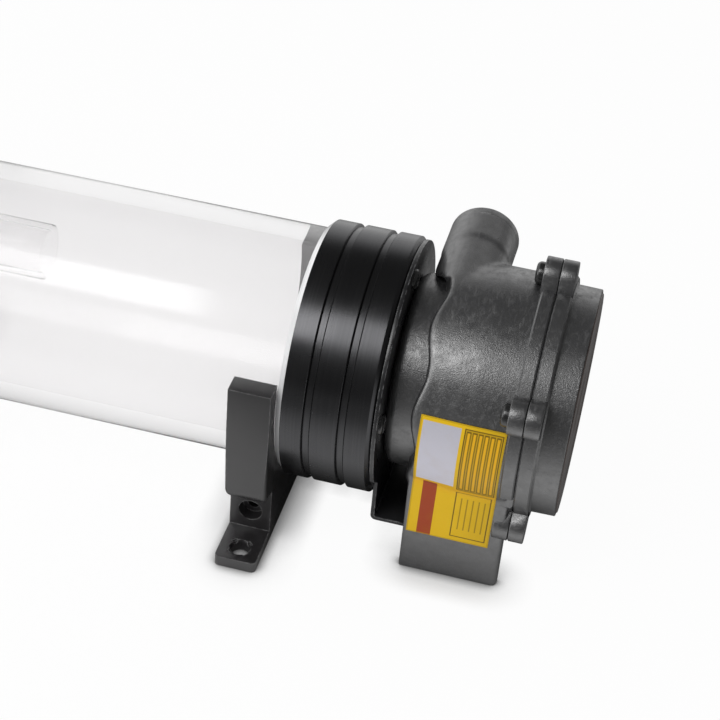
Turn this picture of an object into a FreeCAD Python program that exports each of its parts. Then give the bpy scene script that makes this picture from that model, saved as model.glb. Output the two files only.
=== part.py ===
"""Coolant pump reservoir: a clear tube between two collars, with a pump on one end.

Every piece is built in the tube's own frame: x runs along the tube towards the motor, with x = 0 on the
face where the pump-end collar meets the mounting plate, and y = z = 0 on the tube's axis. +z is up and
-y is the front. At the end each piece is moved so that the feet stand on z = 0 under the middle of the
whole unit. All sizes are in millimetres.
"""
import FreeCAD, Part
import math
import os

V = FreeCAD.Vector

# Reservoir tube and its height over the surface that the unit stands on
tube_r = 30.0
tube_wall = 5.0
tube_len = 150.0
axis_height = 42.0

# Clearances
slip = 0.05              # radial play of a piece that is pushed into a bore
tube_play = 0.1          # radial play of the collars over the tube, and of the plugs inside it
screw_play = 0.1         # radial play of a screw in a plain hole
thread_play = 0.02       # radial play left for a thread
run_play = 0.03          # radial running play of the rotor on its shaft
seal_play = 0.05         # play of a seal ring in its groove

# Collars
collar_wall = 2.5        # outside the tube
collar_len = 23.7
collar_edge = 1.1
collar_lip = 1.5
collar_lip_reach = 5.5   # inwards from the tube's outside
groove_w = 1.9
groove_depth = 0.5
groove_1 = 6.75          # from the collar's tube side
groove_2 = 15.27

# End plugs inside the collars
plug_flange = 5.5
plug_spigot = 8.0
plug_seal_r = 0.9
plug_seal_at = 4.0       # from the flange to the seal's middle

# Ports in the far end plug
port_r = 6.58
port_half_pitch = 11.5
port_seat_r = 10.0
port_seat_depth = 0.4

# Return pipe inside the reservoir
pipe_r = 7.0
pipe_wall = 1.5
pipe_len = 60.0
pipe_socket = 4.0

# Stop plug in the lower port
stop_head_r = 9.0
stop_head_t = 3.0
stop_thread_len = 8.0
stop_hex = 6.0
stop_hex_depth = 2.4
stop_seal_r = 0.8

# Brackets that the tube snaps into
bracket_w = 10.6
bracket_gap = 0.5        # between a bracket and its collar
saddle_play = 0.25
arm_wall = 4.15          # outside the saddle, at the side
arm_top = 8.6
arm_round = 6.5
arm_round_z = -21.5
foot_reach = 6.3         # of a foot past its arm
foot_t = 3.0
foot_edge = 0.6
foot_hole_r = 2.25
foot_hole_inset = 4.9    # from the foot's end
foot_sink = 0.6
web_hole_r = 3.0
web_hole_height = 8.6
web_hole_depth = 3.2
web_pin_r = 1.6
web_pin_depth = 9.0
core_depth = 6.0
core_wall = 2.0
core_side_wall = 6.9
core_rib = 3.0

# Bent steel plate that joins the pump to the reservoir
plate_t = 1.0
plate_setback = 0.6      # inside the collar's outside
plate_shoulder_z = -15.5
plate_side_gap = 0.5     # between the plate's sides and the pump's legs
plate_leg_top = -20.0
plate_drop = 1.5         # from the pump's body down to the bent plate
plate_bend = 0.4
plate_reach = 28.5
plate_bore_play = 0.6    # round the nipple
plate_screw_inset = 2.2  # inwards from the tube's outside
plate_screw_angles = (94.5, 174.5, 274.5, 354.5)

# Screws
m3_r = 1.5
button_r = 2.75
button_t = 1.65
pan_r = 2.8
pan_t = 2.0
hex_m3 = 2.0
socket_depth = 1.0
plate_screw_len = 6.0
pump_screw_len = 5.0
pump_screw_x = 15.0
pump_screw_y = 10.0

# Suction cover with its neck and nipple
neck_rim = 2.2           # outside the cover's spigot
neck_round = 2.5
cover_seat = 9.3         # where the cover stops against the pump housing
cover_end = 12.0
chamber_wall = 7.7       # from the pump chamber to the body's outside
nipple_r = 8.0
nipple_len = 10.0
inlet_r = 5.5
eye_r = 7.0
rib_t = 1.4
spider_arms = 3
spider_first = 90.0
spider_boss_r = 2.8
nipple_seal_r = 0.9
nipple_seal_at = 6.0     # from the plate side to the seal's middle
cover_seal_r = 0.7

# Pump housing: body, flange, legs and outlet spout
body_front = 7.85
body_round = 2.5
body_draft = 0.7         # by which the body is slimmer in front
body_r = 29.7
body_taper_end = 22.0
flange_front = 31.3
flange_rim = 0.7         # outside the body
parting = 34.85
flange_cut_z = -11.2     # below this the flange is flush with the front leg
chamber_end = 20.5
body_wall = 2.7          # round the motor's dry space
lobe_count = 8
lobe_phase = 98.5
lobe_depth = 1.9
lobe_cutter_r = 11.0
leg_inset = 3.5          # from the body's side to the leg's outside
leg_t = 3.2
leg_front = 9.0
leg_back = 34.0
leg_round = 1.0
leg_top = -8.0
leg_flare = 0.5
leg_flare_z = -36.0
pad_front = 10.5
pad_back = 20.0
pad_y = 14.0
pad_sink = 5.7           # of the pad into the body
spout_x = 12.3
spout_inset = 9.2        # from the body's top down to the spout's axis
spout_r = 8.86
spout_root_r = 9.15
spout_root_y = 20.5
spout_end_y = 33.3
spout_start_y = 6.0
spout_clear_y = 12.0     # in front of this the spout stays behind the body's front edge
spout_edge = 0.7
outlet_thread_len = 11.0
passage_x = 15.0
passage_r = 3.8

# Lugs and screws round the housing's flange
lug_count = 5
lug_first = 9.5
lug_out = 2.0            # from the flange's rim to the screws' circle
lug_r = 4.4
lug_front = 30.9
spot_play = 0.15
screw_tip = 0.9

# Motor housing behind the flange
flange_back = 38.7
can_wall = 3.2
can_end = 44.9
can_edge = 0.5
can_floor = 2.0
skirt_wall = 1.65
can_rim = 1.3            # outside the rear cover
back_cover_seat = 0.5
back_cover_rise = 0.4
board_post_r = 1.6
board_post_inset = 4.3   # from the can's wall to a post's middle
board_post_count = 3
board_post_first = 30.0

# Rotor and what it runs on
shaft_r = 1.5
shaft_front = 9.6
shaft_back = 38.0
washer_r = 2.8
washer_t = 0.8
rotor_play = 0.2         # axial play at each end of the rotor
rotor_back = 35.8
bush_r = 3.0
stem_r = 4.5
impeller_gap = 4.0       # to the chamber's wall
impeller_disc_x = 17.5
impeller_disc_t = 1.5
impeller_eye_r = 6.0
blade_count = 6
blade_t = 1.6
blade_sweep = 62.0
magnet_r = 8.6
magnet_front = 20.8
magnet_back = 35.2

# Separation can between the wet rotor and the dry stator
can_flange_t = 2.5
magnet_gap = 0.8         # between the magnet and the sleeve
sleeve_wall = 0.8
sleeve_floor = 37.3
sleeve_end = 39.2
sleeve_boss_r = 3.2
sleeve_boss_x = 36.9
can_seal_r = 0.7
can_seal_inset = 2.4     # from the dry bore's wall to the seal's circle

# Stator
stator_front = 26.0
stator_back = 35.0
yoke_t = 3.6
pole_count = 6
pole_gap = 0.2           # between the sleeve and the poles
pole_t = 1.8
pole_half_angle = 22.0
tooth_w = 5.0
coil_t = 2.2
coil_clear = 0.7         # from a pole's shoe to its coil
coil_inset = 4.25        # from the core's outside to a coil's end

# Control board, seal at the parting, cable grommet
board_x = 39.8
board_t = 1.6
board_play = 0.2
parting_seal_r = 0.6
parting_seal_inset = 2.0 # from the flange's rim to the seal's circle
grommet_x = 41.8
grommet_r = 2.3
grommet_lip_r = 2.9
grommet_lip_t = 1.2
grommet_bore_r = 1.5
grommet_angle = -20.0

# Rating label on the front of the pump, with nothing printed on it
label_t = 0.25
label_x0 = 9.9
label_x1 = 31.0
label_top_angle = 163.0
label_bottom = -29.5

# Places that follow from the sizes above
far_face = -(tube_len + 2 * (collar_lip + plug_flange))
tube_end = -(collar_lip + plug_flange)
bore_r = tube_r - tube_wall
collar_r = tube_r + collar_wall
collar_bore_r = tube_r + tube_play
collar_lip_bore_r = tube_r - collar_lip_reach
plate_r = collar_r - plate_setback
plate_screw_circle = tube_r - plate_screw_inset
plate_bore_r = nipple_r + plate_bore_play
body_r0 = body_r - body_draft
body_front_r = body_r0 - body_round
flange_r = body_r + flange_rim
lug_circle = flange_r + lug_out
chamber_r = body_r - chamber_wall
neck_r = chamber_r + neck_rim
impeller_r = chamber_r - impeller_gap
dry_bore_r = body_r - body_wall
motor_bore_r = dry_bore_r - slip - skirt_wall
can_r = motor_bore_r + can_wall
back_cover_r = can_r - can_rim
board_post_circle = motor_bore_r - board_post_inset
parting_seal_circle = flange_r - parting_seal_inset
can_seal_circle = dry_bore_r - can_seal_inset
sleeve_r = magnet_r + magnet_gap
pole_r = sleeve_r + sleeve_wall + pole_gap
stator_r = motor_bore_r - slip
coil_in = pole_r + pole_t + coil_clear
coil_out = stator_r - coil_inset
leg_y = body_r - leg_inset
spout_z = body_r - spout_inset
plate_leg_y = leg_y - leg_t - plate_side_gap
plate_top = -body_r - plate_drop
plate_underside = plate_top - plate_t
pad_top = pad_sink - body_r
stop_face = far_face + collar_lip - stop_head_t
rear_face = can_end + back_cover_rise
middle_x = (stop_face + rear_face) / 2
floor_z = -axis_height
saddle_r = tube_r + saddle_play
arm_y = saddle_r + arm_wall
web_y = arm_y - arm_round
foot_y = arm_y + foot_reach
foot_hole_y = foot_y - foot_hole_inset
web_hole_z = floor_z + web_hole_height
core_half_y = web_y - core_side_wall
bracket_x = -collar_len - bracket_gap - bracket_w
far_bracket_x = far_face + collar_len + bracket_gap
lug_angles = [lug_first + 360.0 / lug_count * i for i in range(lug_count)]


def ray(angle, radius, x=0.0):
    """A point at an angle round the tube's axis, from the back (+y) towards the top."""
    turn = math.radians(angle)
    return V(x, radius * math.cos(turn), radius * math.sin(turn))


def rod(r, x0, x1, y=0.0, z=0.0):
    """A round bar along x."""
    return Part.makeCylinder(r, x1 - x0, V(x0, y, z), V(1, 0, 0))


def tube(r_out, r_in, x0, x1, y=0.0, z=0.0):
    return rod(r_out, x0, x1, y, z).cut(rod(r_in, x0, x1, y, z))


def block(x0, x1, y0, y1, z0, z1):
    return Part.makeBox(x1 - x0, y1 - y0, z1 - z0, V(x0, y0, z0))


def ring(r_section, r_centre, x, y=0.0, z=0.0):
    """A seal ring round an axis along x."""
    return Part.makeTorus(r_centre, r_section, V(x, y, z), V(1, 0, 0))


def outline(start, *steps):
    """A flat face. Each step is the next corner, or a pair: a point on an arc, and the arc's end."""
    edges, here = [], start
    for step in steps:
        if isinstance(step, tuple):
            edges.append(Part.Arc(here, step[0], step[1]).toShape())
            here = step[1]
        else:
            edges.append(Part.makeLine(here, step))
            here = step
    edges.append(Part.makeLine(here, start))
    return Part.Face(Part.Wire(edges))


def turned(start, *steps):
    """A solid turned about the tube's axis from an outline in x and radius, given as V(x, 0, r)."""
    return outline(start, *steps).revolve(V(0, 0, 0), V(1, 0, 0), 360)


def around(shape, angles):
    """Copies of a shape, turned about the tube's axis."""
    copies = []
    for angle in angles:
        copy = shape.copy()
        copy.rotate(V(0, 0, 0), V(1, 0, 0), angle)
        copies.append(copy)
    return copies


def evenly(count, first=0.0):
    return [first + 360.0 / count * i for i in range(count)]


def hexagon(across, x0, x1, y=0.0, z=0.0):
    corner = across / math.sqrt(3)
    points = [V(x0, y, z) + ray(angle, corner) for angle in evenly(6)]
    face = Part.Face(Part.makePolygon(points + [points[0]]))
    return face.extrude(V(x1 - x0, 0, 0))


def at_pump_end(shape):
    """An end piece, drawn with its outer face on x = 0 and the tube towards +x, on the pump's end."""
    return shape.mirror(V(0, 0, 0), V(1, 0, 0))


def at_far_end(shape):
    moved = shape.copy()
    moved.translate(V(far_face, 0, 0))
    return moved


def reservoir_tube():
    return tube(tube_r, bore_r, far_face - tube_end, tube_end)


def collar():
    """Ring over the tube's end, with a lip that holds the plug and two shallow grooves outside."""
    edge_r = collar_r - collar_edge
    groove_r = collar_r - groove_depth
    a0 = collar_len - groove_2 - groove_w
    b0 = collar_len - groove_1 - groove_w
    return turned(
        V(0, 0, collar_lip_bore_r), V(0, 0, edge_r), V(collar_edge, 0, collar_r),
        V(a0, 0, collar_r), V(a0, 0, groove_r), V(a0 + groove_w, 0, groove_r), V(a0 + groove_w, 0, collar_r),
        V(b0, 0, collar_r), V(b0, 0, groove_r), V(b0 + groove_w, 0, groove_r), V(b0 + groove_w, 0, collar_r),
        V(collar_len - collar_edge, 0, collar_r), V(collar_len, 0, edge_r), V(collar_len, 0, collar_bore_r),
        V(collar_lip, 0, collar_bore_r), V(collar_lip, 0, collar_lip_bore_r))


def pump_end_collar():
    shape = collar()
    for angle in plate_screw_angles:
        place = ray(angle, plate_screw_circle)
        shape = shape.cut(rod(m3_r + screw_play, -1, collar_lip + 1, place.y, place.z))
    return at_pump_end(shape)


def end_plug():
    """Round plug: a flange against the tube's end and a spigot inside it, with a groove for its seal."""
    flange_end = collar_lip + plug_flange
    spigot_r = bore_r - tube_play
    groove_half = plug_seal_r + seal_play
    seal_x = flange_end + plug_seal_at
    groove_r = spigot_r - 2 * plug_seal_r - seal_play
    return turned(
        V(collar_lip, 0, 0), V(collar_lip, 0, tube_r), V(flange_end, 0, tube_r), V(flange_end, 0, spigot_r),
        V(seal_x - groove_half, 0, spigot_r), V(seal_x - groove_half, 0, groove_r),
        V(seal_x + groove_half, 0, groove_r), V(seal_x + groove_half, 0, spigot_r),
        V(flange_end + plug_spigot, 0, spigot_r), V(flange_end + plug_spigot, 0, 0))


def plug_seals():
    centre_r = bore_r - tube_play - plug_seal_r
    seal = ring(plug_seal_r, centre_r, collar_lip + plug_flange + plug_seal_at)
    return [at_pump_end(seal), at_far_end(seal)]


def pump_end_plug():
    """Plug with the outlet to the pump in its middle and threads for the plate's screws."""
    shape = end_plug().cut(rod(nipple_r + slip, 0, collar_len))
    for angle in plate_screw_angles:
        place = ray(angle, plate_screw_circle)
        hole = rod(m3_r + thread_play, collar_lip, collar_lip + plug_flange, place.y, place.z)
        shape = shape.cut(hole)
    return at_pump_end(shape)


def far_end_plug():
    """Plug with two threaded ports. The upper one has a socket for the return pipe inside."""
    inner_face = collar_lip + plug_flange + plug_spigot
    shape = end_plug()
    for z in (port_half_pitch, -port_half_pitch):
        shape = shape.cut(rod(port_r, collar_lip, inner_face, 0, z))
        shape = shape.cut(rod(port_seat_r, collar_lip, collar_lip + port_seat_depth, 0, z))
    socket = rod(pipe_r + slip, inner_face - pipe_socket, inner_face, 0, port_half_pitch)
    return at_far_end(shape.cut(socket))


def return_pipe():
    start = collar_lip + plug_flange + plug_spigot - pipe_socket
    return at_far_end(tube(pipe_r, pipe_r - pipe_wall, start, start + pipe_len, 0, port_half_pitch))


def stop_plug():
    """Threaded stop for the lower port, with a six-sided socket and a groove for its seal."""
    seat = collar_lip + port_seat_depth
    face = collar_lip - stop_head_t
    z = -port_half_pitch
    head = rod(stop_head_r, face, seat, 0, z)
    head = head.makeChamfer(0.5, [edge for edge in head.Edges if edge.BoundBox.XMax < face + 0.01])
    shape = head.fuse(rod(port_r - slip, seat, seat + stop_thread_len, 0, z))
    groove_r = port_r + 2 * stop_seal_r + 2 * seal_play
    groove = tube(groove_r, port_r - slip, seat - 2 * stop_seal_r, seat, 0, z)
    shape = shape.cut(groove).cut(hexagon(stop_hex, face, face + stop_hex_depth, 0, z))
    return at_far_end(shape.removeSplitter())


def stop_plug_seal():
    seat = collar_lip + port_seat_depth
    return at_far_end(ring(stop_seal_r - seal_play / 2, port_r + stop_seal_r + seal_play,
                           seat - stop_seal_r, 0, -port_half_pitch))


def bracket_half():
    """Front half of a bracket's outline, from the saddle's lowest point round to the top of the arm."""
    inner_y = -math.sqrt(saddle_r ** 2 - arm_top ** 2)
    slant = math.sqrt(0.5)
    round_low = V(0, -web_y, arm_round_z - arm_round)
    round_mid = V(0, -web_y - arm_round * slant, arm_round_z - arm_round * slant)
    saddle_mid = ray(225, saddle_r)
    return outline(
        V(0, 0, floor_z), V(0, -foot_y + foot_edge, floor_z), V(0, -foot_y, floor_z + foot_edge),
        V(0, -foot_y, floor_z + foot_t - foot_edge), V(0, -foot_y + foot_edge, floor_z + foot_t),
        V(0, -web_y, floor_z + foot_t), round_low, (round_mid, V(0, -arm_y, arm_round_z)),
        V(0, -arm_y, arm_top), V(0, inner_y, arm_top), (saddle_mid, V(0, 0, -saddle_r)))


def bracket():
    """Saddle on two feet: two arms that the tube snaps between, with screw holes in feet and webs."""
    half = bracket_half().extrude(V(bracket_w, 0, 0))
    shape = half.fuse(half.mirror(V(0, 0, 0), V(0, 1, 0))).removeSplitter()
    middle = bracket_w / 2
    for side in (-1, 1):
        foot = V(middle, side * foot_hole_y, floor_z)
        up = V(0, 0, 1)
        shape = shape.cut(Part.makeCylinder(foot_hole_r, foot_t, foot, up))
        sink = Part.makeCone(foot_hole_r, foot_hole_r + foot_sink, foot_sink,
                             foot + V(0, 0, foot_t - foot_sink), up)
        shape = shape.cut(sink)
        web = V(middle, side * web_y, web_hole_z)
        shape = shape.cut(Part.makeCylinder(web_hole_r, web_hole_depth, web, V(0, -side, 0)))
        shape = shape.cut(Part.makeCylinder(web_pin_r, web_pin_depth, web, V(0, -side, 0)))
        near, far = sorted((side * core_rib / 2, side * core_half_y))
        pocket = block(core_wall, bracket_w - core_wall, near, far, floor_z, floor_z + core_depth)
        shape = shape.cut(pocket)
    return shape


def bracket_at(x):
    shape = bracket()
    shape.translate(V(x, 0, 0))
    return shape


def mounting_plate():
    """Round steel plate whose lower part runs down and is bent forward under the pump."""
    shoulder_y = math.sqrt(plate_r ** 2 - plate_shoulder_z ** 2)
    outer_bend = plate_bend + plate_t
    bend_z = plate_underside + outer_bend
    slant = math.sqrt(0.5)
    face = outline(
        V(0, shoulder_y, plate_shoulder_z), (V(0, 0, plate_r), V(0, -shoulder_y, plate_shoulder_z)),
        V(0, -plate_leg_y, plate_leg_top), V(0, -plate_leg_y, bend_z), V(0, plate_leg_y, bend_z),
        V(0, plate_leg_y, plate_leg_top))
    disc = face.extrude(V(plate_t, 0, 0))
    start = V(0, -plate_leg_y, bend_z)
    corner = V(outer_bend, -plate_leg_y, bend_z)
    outside = corner + V(-outer_bend * slant, 0, -outer_bend * slant)
    inside = corner + V(-plate_bend * slant, 0, -plate_bend * slant)
    shelf = outline(
        start, (outside, V(outer_bend, -plate_leg_y, plate_underside)),
        V(plate_reach, -plate_leg_y, plate_underside), V(plate_reach, -plate_leg_y, plate_top),
        V(outer_bend, -plate_leg_y, plate_top), (inside, V(plate_t, -plate_leg_y, bend_z)))
    shape = disc.fuse(shelf.extrude(V(0, 2 * plate_leg_y, 0))).removeSplitter()
    shape = shape.cut(rod(plate_bore_r, -1, plate_t + 1))
    for angle in plate_screw_angles:
        place = ray(angle, plate_screw_circle)
        shape = shape.cut(rod(m3_r + screw_play, -1, plate_t + 1, place.y, place.z))
    for y in (-pump_screw_y, pump_screw_y):
        hole = Part.makeCylinder(m3_r + screw_play, plate_t, V(pump_screw_x, y, plate_underside))
        shape = shape.cut(hole)
    return shape


def button_screw(length):
    """Round-headed screw standing along +x, with the head's seat on x = 0 and the thread towards -x."""
    head = turned(V(0, 0, 0), V(0, 0, button_r), V(button_t * 0.35, 0, button_r),
                  (V(button_t * 0.85, 0, button_r * 0.72), V(button_t, 0, button_r * 0.5)), V(button_t, 0, 0))
    screw = head.fuse(rod(m3_r, -length, 0))
    return screw.cut(hexagon(hex_m3, button_t - socket_depth, button_t + 1)).removeSplitter()


def plate_screws():
    screws = []
    for angle in plate_screw_angles:
        screw = button_screw(plate_screw_len)
        screw.translate(ray(angle, plate_screw_circle, plate_t))
        screws.append(screw)
    return screws


def pump_screws():
    """The two screws that hold the pump on the bent plate, from below."""
    screws = []
    for y in (-pump_screw_y, pump_screw_y):
        screw = button_screw(pump_screw_len)
        screw.rotate(V(0, 0, 0), V(0, 1, 0), 90)
        screw.translate(V(pump_screw_x, y, plate_underside))
        screws.append(screw)
    return screws


def suction_cover():
    """Neck between plate and pump: nipple into the reservoir, flared inlet and a spider for the shaft."""
    front = plate_t
    slant = neck_round * (1 - math.sqrt(0.5))
    seal_x = front - nipple_seal_at
    groove_half = nipple_seal_r + seal_play
    groove_r = nipple_r - 2 * nipple_seal_r - seal_play
    cover_groove_x0 = cover_seat + 0.5
    cover_groove_x1 = cover_groove_x0 + 2 * (cover_seal_r + seal_play)
    cover_groove_r = chamber_r - 2 * cover_seal_r - seal_play
    shape = turned(
        V(front - nipple_len, 0, inlet_r), V(front - nipple_len, 0, nipple_r - 0.5),
        V(front - nipple_len + 0.5, 0, nipple_r), V(seal_x - groove_half, 0, nipple_r),
        V(seal_x - groove_half, 0, groove_r), V(seal_x + groove_half, 0, groove_r),
        V(seal_x + groove_half, 0, nipple_r), V(front, 0, nipple_r), V(front, 0, neck_r - neck_round),
        (V(front + slant, 0, neck_r - slant), V(front + neck_round, 0, neck_r)),
        V(cover_seat, 0, neck_r), V(cover_seat, 0, chamber_r), V(cover_groove_x0, 0, chamber_r),
        V(cover_groove_x0, 0, cover_groove_r), V(cover_groove_x1, 0, cover_groove_r),
        V(cover_groove_x1, 0, chamber_r), V(cover_end, 0, chamber_r), V(cover_end, 0, eye_r),
        V(cover_seat, 0, eye_r), V(front, 0, inlet_r))
    arm = block(cover_seat, cover_end, 0, eye_r + 0.5, -rib_t / 2, rib_t / 2)
    spider = rod(spider_boss_r, cover_seat, cover_end)
    for one in around(arm, evenly(spider_arms, spider_first)):
        spider = spider.fuse(one)
    shape = shape.fuse(spider).cut(rod(shaft_r, shaft_front, cover_end))
    return shape.removeSplitter()


def nipple_seal():
    return ring(nipple_seal_r, nipple_r - nipple_seal_r, plate_t - nipple_seal_at)


def cover_seal():
    return ring(cover_seal_r, chamber_r - cover_seal_r, cover_seat + 0.5 + cover_seal_r + seal_play)


def lug(x0, x1):
    """One screw lug, blended into the flange, at angle 0."""
    eye = rod(lug_r, x0, x1, lug_circle)
    root = block(x0, x1, flange_r - 3, lug_circle, -lug_r, lug_r)
    return eye.fuse(root)


def leg(side):
    """Side wall under the pump that it stands on, flared slightly at the foot."""
    y_out, y_in = side * leg_y, side * (leg_y - leg_t)
    face = outline(
        V(leg_front, y_in, floor_z), V(leg_front, y_in, leg_top), V(leg_front, y_out, leg_top),
        V(leg_front, y_out, leg_flare_z), V(leg_front, side * (leg_y + leg_flare), floor_z))
    wall = face.extrude(V(leg_back - leg_front, 0, 0))
    corners = []
    for edge in wall.Edges:
        box = edge.BoundBox
        upright = box.ZLength > 1 and box.XLength < 0.01
        if upright and abs(abs(box.Center.y) - leg_y) < leg_flare + 0.01 and box.Center.x > leg_front + 1:
            corners.append(edge)
    return wall.makeFillet(leg_round, corners)


def spout():
    """Outlet along +y, tangent to the pump chamber, with a slightly thicker root."""
    at = V(spout_x, spout_start_y, spout_z)
    root = Part.makeCylinder(spout_root_r, spout_root_y - spout_start_y, at, V(0, 1, 0))
    end = Part.makeCylinder(spout_r, spout_end_y - spout_start_y, at, V(0, 1, 0))
    end = end.makeFillet(spout_edge, [edge for edge in end.Edges if edge.BoundBox.YMin > spout_end_y - 0.01])
    shape = root.fuse(end)
    ahead = block(0, body_front + lobe_depth, 0, spout_clear_y, -collar_r, collar_r)
    neck = rod(neck_r + slip, 0, cover_seat)
    return shape.cut(ahead).cut(neck)


def pump_housing():
    """Body with a scalloped front edge, flange with lugs, outlet spout, legs and a pad for the plate."""
    slant = body_round * (1 - math.sqrt(0.5))
    shape = turned(
        V(body_front, 0, 0), V(body_front, 0, body_front_r),
        (V(body_front + slant, 0, body_r0 - slant), V(body_front + body_round, 0, body_r0)),
        V(body_taper_end, 0, body_r), V(flange_front, 0, body_r), V(flange_front, 0, flange_r),
        V(parting, 0, flange_r), V(parting, 0, 0))
    cutter = Part.makeCylinder(lobe_cutter_r, collar_r, V(body_front - lobe_cutter_r + lobe_depth, 0, 0),
                               V(0, 1, 0))
    for one in around(cutter, evenly(lobe_count, lobe_phase)):
        shape = shape.cut(one)
    for one in around(lug(lug_front, parting), lug_angles):
        shape = shape.fuse(one)
    shape = shape.cut(block(leg_front, parting, -2 * leg_y, -leg_y, -2 * leg_y, flange_cut_z))
    pad = block(pad_front, pad_back, -pad_y, pad_y, plate_top, pad_top)
    for part in (leg(-1), leg(1), pad, spout()):
        shape = shape.fuse(part)
    shape = shape.cut(rod(neck_r + slip, 0, cover_seat)).cut(rod(chamber_r + slip, 0, chamber_end))
    shape = shape.cut(rod(dry_bore_r, chamber_end, parting))
    shape = shape.cut(tube(parting_seal_circle + parting_seal_r + seal_play,
                           parting_seal_circle - parting_seal_r - seal_play,
                           parting - 2 * parting_seal_r, parting))
    spot = rod(pan_r + spot_play, lug_front - pan_t - 1, lug_front, lug_circle)
    hole = rod(m3_r + screw_play, lug_front - 1, parting, lug_circle)
    for angle in lug_angles:
        for one in around(spot, [angle]) + around(hole, [angle]):
            shape = shape.cut(one)
    depth = pump_screw_len - plate_t
    for y in (-pump_screw_y, pump_screw_y):
        shape = shape.cut(Part.makeCylinder(m3_r + thread_play, depth, V(pump_screw_x, y, plate_top)))
    thread_y = spout_end_y - outlet_thread_len
    shape = shape.cut(Part.makeCylinder(port_r, outlet_thread_len, V(spout_x, thread_y, spout_z), V(0, 1, 0)))
    shape = shape.cut(Part.makeCylinder(passage_r, thread_y + 0.5, V(passage_x, 0, spout_z), V(0, 1, 0)))
    return shape.removeSplitter()


def motor_housing():
    """Rear shell: a skirt that presses the separation can home, a flange with lugs and a short can."""
    skirt_r = dry_bore_r - slip
    skirt_front = chamber_end + can_flange_t
    floor = can_end - can_floor
    shape = turned(
        V(skirt_front, 0, motor_bore_r), V(skirt_front, 0, skirt_r), V(parting, 0, skirt_r),
        V(parting, 0, flange_r), V(flange_back, 0, flange_r), V(flange_back, 0, can_r),
        V(can_end - can_edge, 0, can_r), V(can_end, 0, can_r - can_edge),
        V(can_end, 0, back_cover_r + slip), V(can_end - back_cover_seat, 0, back_cover_r + slip),
        V(can_end - back_cover_seat, 0, 0), V(floor, 0, 0), V(floor, 0, motor_bore_r))
    for one in around(lug(parting, flange_back), lug_angles):
        shape = shape.fuse(one)
    shape = shape.cut(rod(motor_bore_r, skirt_front, floor))
    hole = rod(m3_r + thread_play, parting, flange_back, lug_circle)
    for one in around(hole, lug_angles):
        shape = shape.cut(one)
    post = rod(board_post_r, board_x + board_t, floor + 0.5, board_post_circle)
    for one in around(post, evenly(board_post_count, board_post_first)):
        shape = shape.fuse(one)
    hole = Part.makeCylinder(grommet_r + slip, can_r, V(grommet_x, motor_bore_r - 1, 0), V(0, 1, 0))
    shape = shape.cut(around(hole, [grommet_angle])[0])
    return shape.removeSplitter()


def housing_screws():
    """Pan-headed screws through the lugs, with heads on the pump side and tips just past the flange."""
    head = rod(pan_r, lug_front - pan_t, lug_front, lug_circle)
    rim = [edge for edge in head.Edges if edge.BoundBox.XMax < lug_front - pan_t + 0.01]
    head = head.makeFillet(pan_t * 0.5, rim)
    screw = head.fuse(rod(m3_r, lug_front, flange_back + screw_tip, lug_circle))
    slot_depth = 1.2
    x0 = lug_front - pan_t
    for y_half, z_half in ((pan_r * 0.55, 0.35), (0.35, pan_r * 0.55)):
        slot = block(x0, x0 + slot_depth, lug_circle - y_half, lug_circle + y_half, -z_half, z_half)
        screw = screw.cut(slot)
    return around(screw.removeSplitter(), lug_angles)


def rear_cover():
    """Thin round cover set into the end of the motor housing, with a sloping edge."""
    seat = can_end - back_cover_seat
    return turned(V(seat, 0, 0), V(seat, 0, back_cover_r), V(can_end, 0, back_cover_r),
                  V(rear_face, 0, back_cover_r - 2 * back_cover_rise), V(rear_face, 0, 0))


def housing_seal():
    return ring(parting_seal_r - seal_play / 2, parting_seal_circle, parting - parting_seal_r)


def impeller():
    """Open impeller: a disc with swept blades on the front and a hollow stem for the magnet behind."""
    disc_back = impeller_disc_x + impeller_disc_t
    front = cover_end + washer_t + 2 * rotor_play
    shape = rod(impeller_r, impeller_disc_x, disc_back).fuse(rod(stem_r, front, rotor_back))

    def blade_edge(shift):
        radii = (impeller_eye_r - 2, (impeller_eye_r + impeller_r) / 2, impeller_r - 0.3)
        sweeps = (0.0, -0.4 * blade_sweep, -blade_sweep)
        return [ray(sweep + shift * math.degrees(blade_t / r), r, front) for r, sweep in zip(radii, sweeps)]

    a, b = blade_edge(0), blade_edge(1)
    face = outline(a[0], (a[1], a[2]), b[2], (b[1], b[0]))
    blade = face.extrude(V(impeller_disc_x - front, 0, 0))
    for one in around(blade, evenly(blade_count)):
        shape = shape.fuse(one)
    shape = shape.cut(rod(bush_r + slip / 2, front - 1, rotor_back + 1))
    return shape.removeSplitter()


def rotor_bush():
    front = cover_end + washer_t + rotor_play
    return tube(bush_r, shaft_r + run_play, front, rotor_back)


def rotor_magnet():
    return tube(magnet_r, stem_r + slip / 2, magnet_front, magnet_back)


def motor_shaft():
    return rod(shaft_r, shaft_front, shaft_back)


def thrust_washers():
    return [tube(washer_r, shaft_r + slip, cover_end, cover_end + washer_t),
            tube(washer_r, shaft_r + slip, sleeve_boss_x - washer_t, sleeve_boss_x)]


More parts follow.
